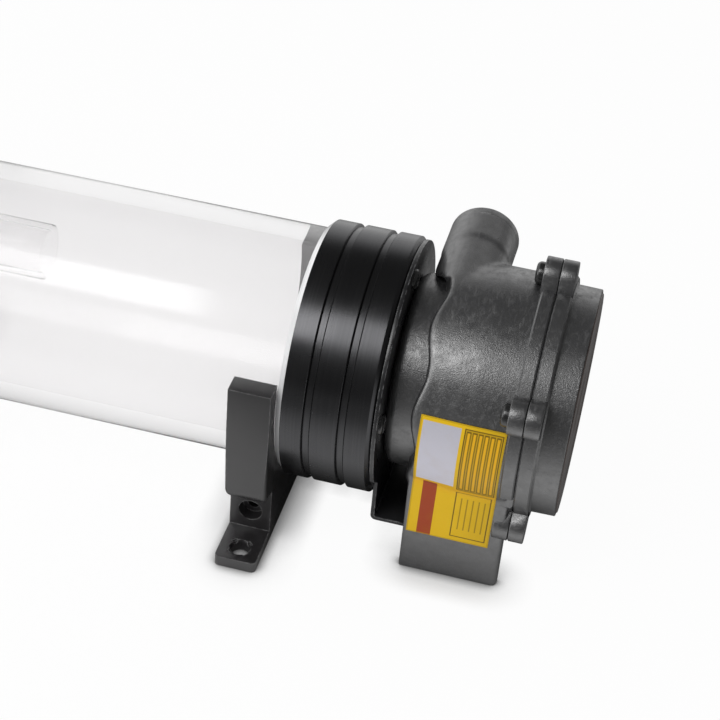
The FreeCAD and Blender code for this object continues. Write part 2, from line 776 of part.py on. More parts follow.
def separation_can():
    """Thin cup that keeps the coolant off the stator, with a flange in front and a shaft seat behind."""
    flange_back_x = chamber_end + can_flange_t
    out_r = sleeve_r + sleeve_wall
    shape = turned(
        V(chamber_end, 0, sleeve_r), V(chamber_end, 0, dry_bore_r - slip), V(flange_back_x, 0, dry_bore_r - slip),
        V(flange_back_x, 0, out_r), V(sleeve_end, 0, out_r), V(sleeve_end, 0, 0), V(sleeve_boss_x, 0, 0),
        V(sleeve_boss_x, 0, sleeve_boss_r), V(sleeve_floor, 0, sleeve_boss_r), V(sleeve_floor, 0, sleeve_r))
    groove = tube(can_seal_circle + can_seal_r + seal_play, can_seal_circle - can_seal_r - seal_play,
                  chamber_end, chamber_end + 2 * can_seal_r)
    return shape.cut(groove).cut(rod(shaft_r, sleeve_boss_x, shaft_back))


def can_seal():
    return ring(can_seal_r - seal_play / 2, can_seal_circle, chamber_end + can_seal_r)


def stator_core():
    """Laminated ring with six poles round the separation can."""
    yoke_in = stator_r - yoke_t
    shape = tube(stator_r, yoke_in, stator_front, stator_back)
    shoe_ring = tube(pole_r + pole_t, pole_r, stator_front, stator_back)
    reach = 2 * pole_r
    side = ray(pole_half_angle, reach, stator_front)
    wedge_face = outline(V(stator_front, 0, 0), V(stator_front, side.y, -side.z), side)
    shoe = shoe_ring.common(wedge_face.extrude(V(stator_back - stator_front, 0, 0)))
    tooth = block(stator_front, stator_back, pole_r + pole_t / 2, yoke_in + 0.5, -tooth_w / 2, tooth_w / 2)
    for one in around(shoe.fuse(tooth), evenly(pole_count)):
        shape = shape.fuse(one)
    return shape.removeSplitter()


def stator_coils():
    half = tooth_w / 2 + slip
    outer = block(stator_front - coil_t, stator_back + coil_t, coil_in, coil_out, -half - coil_t, half + coil_t)
    corners = [edge for edge in outer.Edges if edge.BoundBox.YLength > 1 and edge.BoundBox.XLength < 0.01
               and edge.BoundBox.ZLength < 0.01]
    outer = outer.makeFillet(coil_t * 0.7, corners)
    hollow = block(stator_front - slip, stator_back + slip, coil_in, coil_out, -half, half)
    return around(outer.cut(hollow), evenly(pole_count))


def control_board():
    """Round board behind the stator, with a few tall components."""
    back = board_x + board_t
    shape = rod(motor_bore_r - board_play, board_x, back)
    for angle, radius, size, height in ((100, 14, 5.0, 1.2), (200, 12, 7.0, 1.0), (320, 15, 4.0, 1.3)):
        place = ray(angle, radius)
        chip = block(back, back + height, place.y - size / 2, place.y + size / 2,
                     place.z - size / 2, place.z + size / 2)
        shape = shape.fuse(chip)
    return shape.removeSplitter()


def cable_grommet():
    """Round sleeve in the back of the motor housing, where the pump's lead would leave."""
    body = Part.makeCylinder(grommet_r, can_r + grommet_lip_t - motor_bore_r - slip,
                             V(grommet_x, motor_bore_r + slip, 0), V(0, 1, 0))
    lip = Part.makeCylinder(grommet_lip_r, grommet_lip_t, V(grommet_x, can_r + slip, 0), V(0, 1, 0))
    bore = Part.makeCylinder(grommet_bore_r, can_r, V(grommet_x, motor_bore_r - 1, 0), V(0, 1, 0))
    return around(body.fuse(lip).cut(bore).removeSplitter(), [grommet_angle])[0]


def label_ground(grow):
    """The housing's outside under the label, grown by a little: the round body and the front leg."""
    rise = (body_r - body_r0) / (body_taper_end - body_front - body_round)
    r0 = body_r0 + rise * (label_x0 - body_front - body_round) + grow
    r1 = body_r + grow
    round_part = turned(V(label_x0, 0, 0), V(label_x0, 0, r0), V(body_taper_end, 0, r1),
                        V(label_x1, 0, r1), V(label_x1, 0, 0))
    flat_part = block(label_x0, label_x1, -leg_y - grow, 0, label_bottom, leg_top)
    return round_part.fuse(flat_part)


def rating_label():
    """Plain label that lies on the round housing and runs down over the front leg."""
    skin = label_ground(slip + label_t).cut(label_ground(slip))
    top = ray(label_top_angle, 2 * body_r, label_x0)
    window = outline(V(label_x0, 0, 0), top, V(label_x0, -2 * body_r, label_bottom), V(label_x0, 0, label_bottom))
    return skin.common(window.extrude(V(label_x1 - label_x0, 0, 0))).removeSplitter()


def build():
    """Every piece by its node name. A list holds identical pieces that share one node."""
    return {
        "reservoir_tube": reservoir_tube(),
        "pump_end_collar": pump_end_collar(),
        "far_end_collar": at_far_end(collar()),
        "pump_end_plug": pump_end_plug(),
        "far_end_plug": far_end_plug(),
        "plug_seals": plug_seals(),
        "return_pipe": return_pipe(),
        "stop_plug": stop_plug(),
        "stop_plug_seal": stop_plug_seal(),
        "pump_end_bracket": bracket_at(bracket_x),
        "far_end_bracket": bracket_at(far_bracket_x),
        "mounting_plate": mounting_plate(),
        "plate_screws": plate_screws(),
        "pump_screws": pump_screws(),
        "suction_cover": suction_cover(),
        "nipple_seal": nipple_seal(),
        "cover_seal": cover_seal(),
        "pump_housing": pump_housing(),
        "motor_housing": motor_housing(),
        "housing_screws": housing_screws(),
        "housing_seal": housing_seal(),
        "rear_cover": rear_cover(),
        "impeller": impeller(),
        "rotor_bush": rotor_bush(),
        "rotor_magnet": rotor_magnet(),
        "motor_shaft": motor_shaft(),
        "thrust_washers": thrust_washers(),
        "separation_can": separation_can(),
        "can_seal": can_seal(),
        "stator_core": stator_core(),
        "stator_coils": stator_coils(),
        "control_board": control_board(),
        "cable_grommet": cable_grommet(),
        "rating_label": rating_label(),
    }


def export():
    os.makedirs("parts", exist_ok=True)
    for name, shape in build().items():
        if isinstance(shape, list):
            shape = Part.makeCompound(shape)
        shape.translate(V(-middle_x, 0, axis_height))
        shape.exportStep("parts/" + name + ".step")


export()
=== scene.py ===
import bmesh
import bpy
import math
from mathutils import Matrix, Vector


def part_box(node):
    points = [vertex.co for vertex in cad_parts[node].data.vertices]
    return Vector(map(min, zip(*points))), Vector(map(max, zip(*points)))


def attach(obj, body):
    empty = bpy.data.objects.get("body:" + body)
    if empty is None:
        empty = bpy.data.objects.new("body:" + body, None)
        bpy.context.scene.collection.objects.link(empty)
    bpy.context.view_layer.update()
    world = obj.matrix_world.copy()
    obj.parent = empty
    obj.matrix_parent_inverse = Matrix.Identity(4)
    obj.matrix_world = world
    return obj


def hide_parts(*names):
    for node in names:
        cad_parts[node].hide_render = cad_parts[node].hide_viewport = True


bl_info = {
    "name": "Coolant Pump Reservoir",
    "version": (1, 0, 0),
    "blender": (4, 5, 0),
    "location": "View3D > Sidebar > Reservoir",
    "description": "Builds the looks of a coolant pump reservoir on its packed frame",
    "category": "Add Mesh",
}

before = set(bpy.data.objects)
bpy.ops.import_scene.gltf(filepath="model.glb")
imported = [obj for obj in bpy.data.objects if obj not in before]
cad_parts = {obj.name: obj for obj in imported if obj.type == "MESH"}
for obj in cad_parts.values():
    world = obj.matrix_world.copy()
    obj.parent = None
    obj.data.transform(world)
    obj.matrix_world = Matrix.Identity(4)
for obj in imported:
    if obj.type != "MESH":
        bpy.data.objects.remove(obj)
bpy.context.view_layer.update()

MM = 0.001
PHOTO_WIDTH = 720
ROOT = "reservoir"

# Pieces are drawn in the tube's frame, in millimetres: x = 0 on the mounting plate's tube side, and
# y = z = 0 on the tube's axis. FACE_X and AXIS_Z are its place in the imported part's frame, in metres.
TUBE_LOW, TUBE_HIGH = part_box("reservoir_tube")
FACE_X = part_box("mounting_plate")[0].x
AXIS_Z = (TUBE_LOW.z + TUBE_HIGH.z) / 2
FLOOR_Z = -AXIS_Z / MM

# Sizes and places that several pieces share, in millimetres and degrees
COLLAR_RADIUS, COLLAR_LENGTH = 32.5, 23.7
BRACKET_FOOT = 3.0
PLATE_UNDERSIDE = -32.2
PLATE_SCREW_CIRCLE, PLATE_SCREW_ANGLES = 27.8, [94.5, 174.5, 274.5, 354.5]
BODY_RADIUS, LEG_SIDE, FLANGE_RADIUS = 29.7, 26.2, 30.4
SPOUT_X, SPOUT_Z, SPOUT_RADIUS = 12.3, 20.5, 8.9
PORT_RADIUS, THREAD_PITCH = 6.58, 1.337
LUG_FRONT, LUG_CIRCLE, LUG_ANGLES = 30.9, 32.4, [9.5 + 72 * i for i in range(5)]


def tube_frame(node, corner, axis):
    """The x or z of a CAD node's lower (0) or upper (1) corner, in the tube's frame."""
    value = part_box(node)[corner]
    return (value.x - FACE_X if axis == "x" else value.z - AXIS_Z) / MM


# Settings

def length_setting(label, text, default):
    """A size in metres, with its default given in millimetres."""
    return bpy.props.FloatProperty(name=label, description=text, default=default * MM, min=0.0,
                                   subtype="DISTANCE", unit="LENGTH", precision=5)


def colour_setting(label, text, default):
    return bpy.props.FloatVectorProperty(name=label, description=text, default=default, size=3,
                                         min=0.0, max=1.0, subtype="COLOR")


class ReservoirSizes(bpy.types.PropertyGroup):
    """Sizes that a user would change on the dressed unit"""
    collar_edge: length_setting("Collar edge", "Width of the bright turned edge on a collar", 1.4)
    groove_depth: length_setting("Groove depth", "Depth of the two grooves round a collar", 0.8)
    body_round: length_setting("Body rounding", "Radius of the pump body's front edge", 1.3)
    scallop: length_setting("Scallop", "How far the pump body's front edge waves to and fro", 0.95)
    mould_round: length_setting("Moulded edge", "Radius of the small edges on moulded pieces", 0.4)
    label_thickness: length_setting("Label thickness", "Thickness of the rating label", 0.2)


class ReservoirColours(bpy.types.PropertyGroup):
    """Main colours of the dressed unit"""
    anodised: colour_setting("Anodised black", "Collars and stop plug", (0.07, 0.07, 0.073))
    pump: colour_setting("Pump plastic", "Pump housing, motor housing and suction cover",
                         (0.021, 0.021, 0.022))
    bracket: colour_setting("Bracket plastic", "Saddle brackets", (0.018, 0.017, 0.018))
    label: colour_setting("Label ground", "Ground colour of the rating label", (0.80, 0.50, 0.006))
    label_panel: colour_setting("Label panel", "Pale panel on the rating label", (0.60, 0.59, 0.66))
    label_bar: colour_setting("Label bar", "Rust-red bar on the rating label", (0.36, 0.052, 0.010))


def size(name):
    """A size from the settings, in millimetres."""
    return getattr(bpy.context.scene.reservoir_sizes, name) / MM


def colour(name):
    return (*getattr(bpy.context.scene.reservoir_colours, name), 1.0)


# Mesh making, in the tube's frame and in millimetres

def lathe(points, closed=True, steps=176):
    """A shape turned about the tube's axis from (x, radius) points."""
    bm = bmesh.new()
    verts = [bm.verts.new((x, 0, r)) for x, r in points]
    edges = [bm.edges.new(pair) for pair in zip(verts, verts[1:])]
    if closed:
        edges.append(bm.edges.new((verts[-1], verts[0])))
    bmesh.ops.spin(bm, geom=verts + edges, cent=(0, 0, 0), axis=(1, 0, 0), angle=math.tau, steps=steps,
                   use_merge=True)
    bmesh.ops.remove_doubles(bm, verts=bm.verts, dist=0.001)
    bmesh.ops.recalc_face_normals(bm, faces=bm.faces)
    return bm


def bar(r, x0, x1, y=0.0, z=0.0, steps=64):
    """A round bar along x."""
    bm = bmesh.new()
    bmesh.ops.create_cone(bm, cap_ends=True, segments=steps, radius1=r, radius2=r, depth=x1 - x0,
                          matrix=Matrix.Rotation(math.pi / 2, 4, "Y"))
    return move(bm, ((x0 + x1) / 2, y, z))


def block(x0, x1, y0, y1, z0, z1):
    bm = bmesh.new()
    bmesh.ops.create_cube(bm, size=1)
    bmesh.ops.scale(bm, vec=(x1 - x0, y1 - y0, z1 - z0), verts=bm.verts)
    return move(bm, ((x0 + x1) / 2, (y0 + y1) / 2, (z0 + z1) / 2))


def of_kind(geometry, kind):
    """The vertices, edges or faces out of what an operator made."""
    return [item for item in geometry if isinstance(item, kind)]


def slab(corners, x0, x1, rounded=(), radius=0.0, segments=10):
    """A flat outline of (y, z) corners, some of them rounded, made solid from x0 to x1."""
    bm = bmesh.new()
    verts = [bm.verts.new((x0, y, z)) for y, z in corners]
    bm.faces.new(verts)
    if rounded:
        bmesh.ops.bevel(bm, geom=[verts[i] for i in rounded], offset=radius, segments=segments, profile=0.5,
                        affect="VERTICES", material=-1)
    pushed = bmesh.ops.extrude_face_region(bm, geom=list(bm.faces), use_keep_orig=True)["geom"]
    bmesh.ops.translate(bm, vec=(x1 - x0, 0, 0), verts=of_kind(pushed, bmesh.types.BMVert))
    bmesh.ops.recalc_face_normals(bm, faces=bm.faces)
    return bm


def move(bm, step):
    bmesh.ops.translate(bm, vec=step, verts=bm.verts)
    return bm


def turn(bm, degrees, axis="X"):
    matrix = Matrix.Rotation(math.radians(degrees), 3, axis)
    bmesh.ops.rotate(bm, cent=(0, 0, 0), matrix=matrix, verts=bm.verts)
    return bm


def joined(*parts):
    """Several shapes as one mesh."""
    whole = parts[0]
    for part in parts[1:]:
        mesh = bpy.data.meshes.new("part")
        part.to_mesh(mesh)
        part.free()
        whole.from_mesh(mesh)
        bpy.data.meshes.remove(mesh)
    return whole


def soften(bm, width, segments=2, angle=30.0, pick=None, clamp=True):
    """Rounds the edges that are sharper than an angle."""
    edges = []
    for edge in bm.edges:
        if edge.is_manifold and edge.calc_face_angle() > math.radians(angle):
            if pick is None or pick((edge.verts[0].co + edge.verts[1].co) / 2):
                edges.append(edge)
    bmesh.ops.bevel(bm, geom=edges, offset=width, segments=segments, profile=0.5, affect="EDGES",
                    clamp_overlap=clamp, material=-1)
    return bm


def scratch(bm):
    """A mesh as a short-lived object, for a modifier."""
    mesh = bpy.data.meshes.new("scratch")
    bm.to_mesh(mesh)
    bm.free()
    obj = bpy.data.objects.new("scratch", mesh)
    bpy.context.scene.collection.objects.link(obj)
    return obj


def modified(obj, *others):
    """The short-lived object's mesh with its modifiers applied, and nothing left of the object."""
    shown = obj.evaluated_get(bpy.context.evaluated_depsgraph_get())
    mesh = bpy.data.meshes.new_from_object(shown)
    bm = bmesh.new()
    bm.from_mesh(mesh)
    bpy.data.meshes.remove(mesh)
    for gone in (obj, *others):
        data = gone.data
        bpy.data.objects.remove(gone)
        bpy.data.meshes.remove(data)
    return bm


def carve(bm, tool):
    """A shape with a tool's shape cut from it."""
    shape, cutter = scratch(bm), scratch(tool)
    boolean = shape.modifiers.new("Carve", "BOOLEAN")
    boolean.operation = "DIFFERENCE"
    boolean.solver = "EXACT"
    boolean.object = cutter
    return modified(shape, cutter)


def moulded(bm, voxel, passes):
    """Overlapping shapes run together into one skin with soft inner corners, as a moulding has."""
    shape = scratch(bm)
    remesh = shape.modifiers.new("Mould", "REMESH")
    remesh.mode = "VOXEL"
    remesh.voxel_size = voxel
    bm = modified(shape)
    for _ in range(passes):
        bmesh.ops.smooth_vert(bm, verts=bm.verts, factor=0.5, use_axis_x=True, use_axis_y=True,
                              use_axis_z=True)
    return bm


def piece(name, bm, materials, replaces, body=ROOT, sharp=32.0):
    """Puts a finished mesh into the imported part's frame and makes it ride on its body."""
    bmesh.ops.recalc_face_normals(bm, faces=bm.faces)
    bmesh.ops.scale(bm, vec=(MM, MM, MM), verts=bm.verts)
    move(bm, (FACE_X, 0, AXIS_Z))
    mesh = bpy.data.meshes.new(name)
    bm.to_mesh(mesh)
    bm.free()
    for one in materials:
        mesh.materials.append(one)
    mesh.shade_smooth()
    mesh.set_sharp_from_angle(angle=math.radians(sharp))
    obj = bpy.data.objects.new(name, mesh)
    bpy.context.scene.collection.objects.link(obj)
    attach(obj, body)
    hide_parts(*replaces)


# Node groups and materials

def feed(tree, socket, value):
    """Gives an input its value, or links another node's output to it."""
    if isinstance(value, bpy.types.NodeSocket):
        tree.links.new(value, socket)
    else:
        socket.default_value = value


def fill(tree, node, **inputs):
    """A node with its inputs fed by name, an underscore standing for a space."""
    for name, value in inputs.items():
        feed(tree, node.inputs[name.replace("_", " ")], value)
    return node


def add(tree, kind, **inputs):
    """A new shader node with its inputs filled."""
    return fill(tree, tree.nodes.new("ShaderNode" + kind), **inputs)


def math_node(tree, operation, a, b, clamp=False):
    node = tree.nodes.new("ShaderNodeMath")
    node.operation = operation
    node.use_clamp = clamp
    feed(tree, node.inputs[0], a)
    feed(tree, node.inputs[1], b)
    return node.outputs[0]


def times(tree, a, b):
    return math_node(tree, "MULTIPLY", a, b)


def plus(tree, a, b):
    return math_node(tree, "ADD", a, b)


def highest(tree, a, b):
    return math_node(tree, "MAXIMUM", a, b)


def noise(tree, vector, scale, detail):
    return add(tree, "TexNoise", Vector=vector, Scale=scale, Detail=detail, Roughness=0.55).outputs["Fac"]


def spread(tree, value, low, high, out_low=0.0, out_high=1.0):
    """A value stretched from one range to another and held inside it."""
    node = add(tree, "MapRange", Value=value, From_Min=low, From_Max=high, To_Min=out_low, To_Max=out_high)
    return node.outputs["Result"]


def blend_colours(tree, factor, first, second):
    node = tree.nodes.new("ShaderNodeMix")
    node.data_type = "RGBA"
    return fill(tree, node, Factor=factor, A=first, B=second).outputs["Result"]


def new_group(name, scales, masks):
    """An empty shader group, its inputs (a vector and scales) and its outputs (masks)."""
    group = bpy.data.node_groups.new(name, "ShaderNodeTree")
    group.interface.new_socket("Vector", in_out="INPUT", socket_type="NodeSocketVector")
    for label, value in scales.items():
        group.interface.new_socket(label, in_out="INPUT", socket_type="NodeSocketFloat").default_value = value
    for label in masks:
        group.interface.new_socket(label, in_out="OUTPUT", socket_type="NodeSocketFloat")
    return group, group.nodes.new("NodeGroupInput").outputs, group.nodes.new("NodeGroupOutput")


def mottle_group():
    """Cloudy flow marks of moulded plastic, with fine scuffs that cross them."""
    group, given, out = new_group("MouldedMottle", {"Cloud Scale": 120.0, "Scuff Scale": 900.0},
                                  ("Cloud", "Scuffs", "Grain"))
    vector = given["Vector"]
    cloud = add(group, "TexNoise", Vector=vector, Scale=given["Cloud Scale"], Detail=5.0, Distortion=0.3)
    drawn_out = add(group, "Mapping", Vector=vector, Rotation=(0.3, 0.5, 0.7), Scale=(1.0, 0.22, 1.0))
    scuff = add(group, "TexNoise", Vector=drawn_out.outputs["Vector"], Scale=given["Scuff Scale"], Detail=3.0,
                Distortion=0.7)
    grain = add(group, "TexNoise", Vector=vector, Scale=3400.0, Detail=2.0)
    fill(group, out, Cloud=spread(group, cloud.outputs["Fac"], 0.3, 0.72),
         Scuffs=spread(group, scuff.outputs["Fac"], 0.5, 0.72), Grain=grain.outputs["Fac"])
    return group


def edge_group():
    """Mask of the outer edges, broken up by noise: where a finish wears first, and where the bracket and plate
    finishes get a painted edge highlight.
    """
    group, given, out = new_group("EdgeWearAndSheen", {"Break Scale": 700.0}, ("Mask",))
    bevel = add(group, "Bevel", Radius=0.0005)
    bevel.samples = 4
    alike = group.nodes.new("ShaderNodeVectorMath")
    alike.operation = "DOT_PRODUCT"
    feed(group, alike.inputs[0], bevel.outputs["Normal"])
    feed(group, alike.inputs[1], add(group, "NewGeometry").outputs["Normal"])
    edge = spread(group, alike.outputs["Value"], 0.985, 0.86)
    broken = add(group, "TexNoise", Vector=given["Vector"], Scale=given["Break Scale"], Detail=4.0)
    patchy = spread(group, broken.outputs["Fac"], 0.38, 0.62)
    fill(group, out, Mask=times(group, edge, patchy))
    return group


def turning_group():
    """Fine rings that a lathe tool leaves round the tube's axis."""
    group, given, out = new_group("TurningMarks", {"Ring Scale": 2600.0}, ("Rings", "Bands"))
    squeeze = add(group, "Mapping", Vector=given["Vector"], Scale=(1.0, 0.012, 0.012))
    ring = add(group, "TexNoise", Vector=squeeze.outputs["Vector"], Scale=given["Ring Scale"], Detail=3.0)
    band = add(group, "TexNoise", Vector=given["Vector"], Scale=60.0)
    fill(group, out, Rings=ring.outputs["Fac"], Bands=band.outputs["Fac"])
    return group


GROUPS = {"MouldedMottle": mottle_group, "EdgeWearAndSheen": edge_group, "TurningMarks": turning_group}


def effect(tree, name, vector, **scales):
    """The masks of a shared effect, placed in a material with its own scales."""
    node = tree.nodes.new("ShaderNodeGroup")
    node.node_tree = bpy.data.node_groups.get(name) or GROUPS[name]()
    return fill(tree, node, Vector=vector, **scales).outputs


def start_material(name, base, roughness, metallic=0.0, specular=0.5, **more):
    """A material with its shader's plain values set, and the tree, shader and object coordinates."""
    material = bpy.data.materials.new(name)
    material.use_nodes = True
    tree = material.node_tree
    shader = fill(tree, tree.nodes["Principled BSDF"], Base_Color=base, Roughness=roughness,
                  Metallic=metallic, Specular_IOR_Level=specular, **more)
    return material, tree, shader, add(tree, "TexCoord").outputs["Object"]


def bump(tree, shader, height, strength, distance):
    node = add(tree, "Bump", Height=height, Strength=strength, Distance=distance)
    fill(tree, shader, Normal=node.outputs["Normal"])


def shade(rgba, factor):
    return (rgba[0] * factor, rgba[1] * factor, rgba[2] * factor, 1.0)


def moulded_plastic(name, base, cloud, scuff, lift, rough=(0.30, 0.40), relief=0.00002, ior=1.5):
    """Moulded plastic: cloudy patches, fine scuffs and paler edges where it wears."""
    scuff_share, scuff_shade, scuff_dulls, scuff_height = 0.5, 2.6, 0.14, 0.4
    worn_share, worn_shade = 0.4, 3.5
    material, tree, shader, vector = start_material(name, base, 0.4, specular=1.0, IOR=ior)
    mottle = effect(tree, "MouldedMottle", vector, Cloud_Scale=cloud, Scuff_Scale=scuff)
    pale_edges = effect(tree, "EdgeWearAndSheen", vector)["Mask"]
    scuffs = mottle["Scuffs"]
    result = blend_colours(tree, mottle["Cloud"], shade(base, 1 - lift * 0.55), shade(base, 1 + lift))
    result = blend_colours(tree, times(tree, scuffs, scuff_share), result, shade(base, scuff_shade))
    result = blend_colours(tree, times(tree, pale_edges, worn_share), result, shade(base, worn_shade))
    glossy = spread(tree, mottle["Cloud"], 0, 1, rough[1], rough[0])
    fill(tree, shader, Base_Color=result, Roughness=plus(tree, glossy, times(tree, scuffs, scuff_dulls)))
    bump(tree, shader, plus(tree, times(tree, scuffs, scuff_height), mottle["Grain"]), 0.7, relief)
    return material


def turned_metal(name, base, roughness, metallic, ring_scale, strength):
    """Turned metal or plastic with fine rings round the tube's axis."""
    material, tree, shader, vector = start_material(name, base, roughness, metallic)
    marks = effect(tree, "TurningMarks", vector, Ring_Scale=ring_scale)
    fill(tree, shader, Base_Color=blend_colours(tree, marks["Rings"], shade(base, 0.8), shade(base, 1.25)),
         Roughness=spread(tree, marks["Bands"], 0.0, 1.0, roughness * 0.7, roughness * 1.3))
    bump(tree, shader, marks["Rings"], strength, 0.00001)
    return material


def grained(name, base, roughness, scale, strength, metallic=0.0, specular=0.5, vary=0.15, pale_edges=None,
            relief=0.00002):
    """Plain finish with a fine grain, slight patches and, if given a share and a colour, paler edges; on the
    bracket and plate finishes these are a painted edge highlight.
    """
    material, tree, shader, vector = start_material(name, base, roughness, metallic, specular)
    patch = noise(tree, vector, scale * 0.08, 4.0)
    result = blend_colours(tree, patch, shade(base, 1 - vary), shade(base, 1 + vary))
    if pale_edges:
        share, edge_colour = pale_edges
        # paler edges: a painted edge highlight on the bracket and plate finishes
        mask = effect(tree, "EdgeWearAndSheen", vector)["Mask"]
        result = blend_colours(tree, times(tree, mask, share), result, edge_colour)
    fill(tree, shader, Base_Color=result,
         Roughness=spread(tree, patch, 0.3, 0.7, roughness * 0.85, roughness * 1.15))
    bump(tree, shader, noise(tree, vector, scale, 3.0), strength, relief)
    return material


def clear_plastic(name, tint, clear, roughness, haze, coat=1.0, ior=1.02):
    """Clear acrylic, slightly milky, with faint hazy streaks along it and a polished surface."""
    material, tree, shader, vector = start_material(name, tint, roughness, IOR=ior, Transmission_Weight=clear,
                                                    Coat_Weight=coat, Coat_Roughness=0.16)
    along = add(tree, "Mapping", Vector=vector, Scale=(0.12, 1.0, 1.0))
    streaks = noise(tree, along.outputs["Vector"], 90.0, 4.0)
    fill(tree, shader, Roughness=spread(tree, streaks, 0.35, 0.75, roughness, roughness + haze),
         Base_Color=blend_colours(tree, streaks, shade(tint, 0.985), tint))
    return material


def in_box(tree, u, v, box, blur=0.002):
    """Mask of a rectangle on the label, from its left, right, top and bottom edges."""
    left, right, top, bottom = box
    mask = times(tree, spread(tree, u, left - blur, left + blur), spread(tree, u, right + blur, right - blur))
    mask = times(tree, mask, spread(tree, v, top - blur, top + blur))
    return times(tree, mask, spread(tree, v, bottom + blur, bottom - blur))


def frame_mask(tree, u, v, box, thick):
    """Mask of a thin rectangular frame on the label."""
    left, right, top, bottom = box
    inner = (left + thick, right - thick, top + thick / 2, bottom - thick / 2)
    return math_node(tree, "SUBTRACT", in_box(tree, u, v, box), in_box(tree, u, v, inner), clamp=True)


def upright_bars(tree, u, v, box, count, share):
    """Mask of plain upright bars side by side in a box on the label."""
    left, right = box[:2]
    place = times(tree, math_node(tree, "SUBTRACT", u, left), count / (right - left))
    across = math_node(tree, "FRACT", place, 0.0)
    rim, blur = (1 - share) / 2, 0.05
    bars = times(tree, spread(tree, across, rim - blur, rim + blur),
                 spread(tree, across, 1 - rim + blur, 1 - rim - blur))
    return times(tree, bars, in_box(tree, u, v, box))


def label_print(name):
    """Printed label film: plain panels, bars and ruled lines in its own width and length, with painted shade
    over its right side, along its bend onto the leg and across its pale panel.
    """
    ground, pale = colour("label"), colour("label_panel")
    dark, olive, orange = (0.04, 0.024, 0.004, 1.0), (0.55, 0.33, 0.006, 1.0), (0.85, 0.45, 0.008, 1.0)
    whole, table, lower = (0.0, 1.0, 0.0, 1.0), (0.525, 0.975, 0.025, 0.555), (0.525, 0.955, 0.59, 0.965)
    cells, cell_rims, lines = (0.54, 0.96, 0.05, 0.53), (0.54, 0.96, 0.04, 0.54), (0.57, 0.92, 0.64, 0.9)
    panel, side_bar = (0.035, 0.485, 0.03, 0.53), (0.125, 0.295, 0.55, 1.2)

    material, tree, shader, vector = start_material(name, ground, 0.34, specular=0.3)
    unwrap = tree.nodes.new("ShaderNodeUVMap")
    unwrap.uv_map = "label"
    split = add(tree, "SeparateXYZ", Vector=unwrap.outputs["UV"])
    u, v = split.outputs["X"], split.outputs["Y"]

    # painted shade: a darker orange band just above where the label bends from the body onto the leg
    painted_crease_shade = times(tree, spread(tree, v, 0.5, 0.56), spread(tree, v, 0.64, 0.565))
    # painted shading: the pale panel is darker at its top and lighter towards its bottom
    pale = blend_colours(tree, spread(tree, v, 0.05, 0.5), shade(pale, 0.85), shade(pale, 1.15))
    ruled = highest(tree, frame_mask(tree, u, v, table, 0.012), frame_mask(tree, u, v, lower, 0.014))
    edges = math_node(tree, "SUBTRACT", upright_bars(tree, u, v, cell_rims, 6, 0.78),
                      upright_bars(tree, u, v, cells, 6, 0.5), clamp=True)
    marks = highest(tree, times(tree, edges, 0.7),
                    times(tree, upright_bars(tree, u, v, lines, 5, 0.22), 0.55))
    grime = noise(tree, vector, 260.0, 4.0)
    result = ground
    # painted shade: the label's ground goes darker towards its right side
    for mask, paint in ((spread(tree, u, 0.5, 1.0), shade(ground, 0.8)),
                        # painted shade along the label's bend onto the leg
                        (times(tree, painted_crease_shade, 0.75), orange),
                        (in_box(tree, u, v, table, 0.006), olive),
                        (upright_bars(tree, u, v, cells, 6, 0.36), orange),
                        (in_box(tree, u, v, panel), pale),
                        (in_box(tree, u, v, side_bar), colour("label_bar")),
                        (times(tree, frame_mask(tree, u, v, whole, 0.018), 0.6), shade(ground, 0.55)),
                        (highest(tree, times(tree, ruled, 0.85), marks), dark),
                        (spread(tree, grime, 0.5, 0.85, 0.0, 0.12), shade(ground, 0.5))):
        result = blend_colours(tree, mask, result, paint)
    fill(tree, shader, Base_Color=result, Roughness=spread(tree, grime, 0.3, 0.7, 0.28, 0.42))
    bump(tree, shader, noise(tree, vector, 500.0, 2.0), 0.12, 0.00005)
    return material


def grey(value):
    return (value, value, value, 1.0)


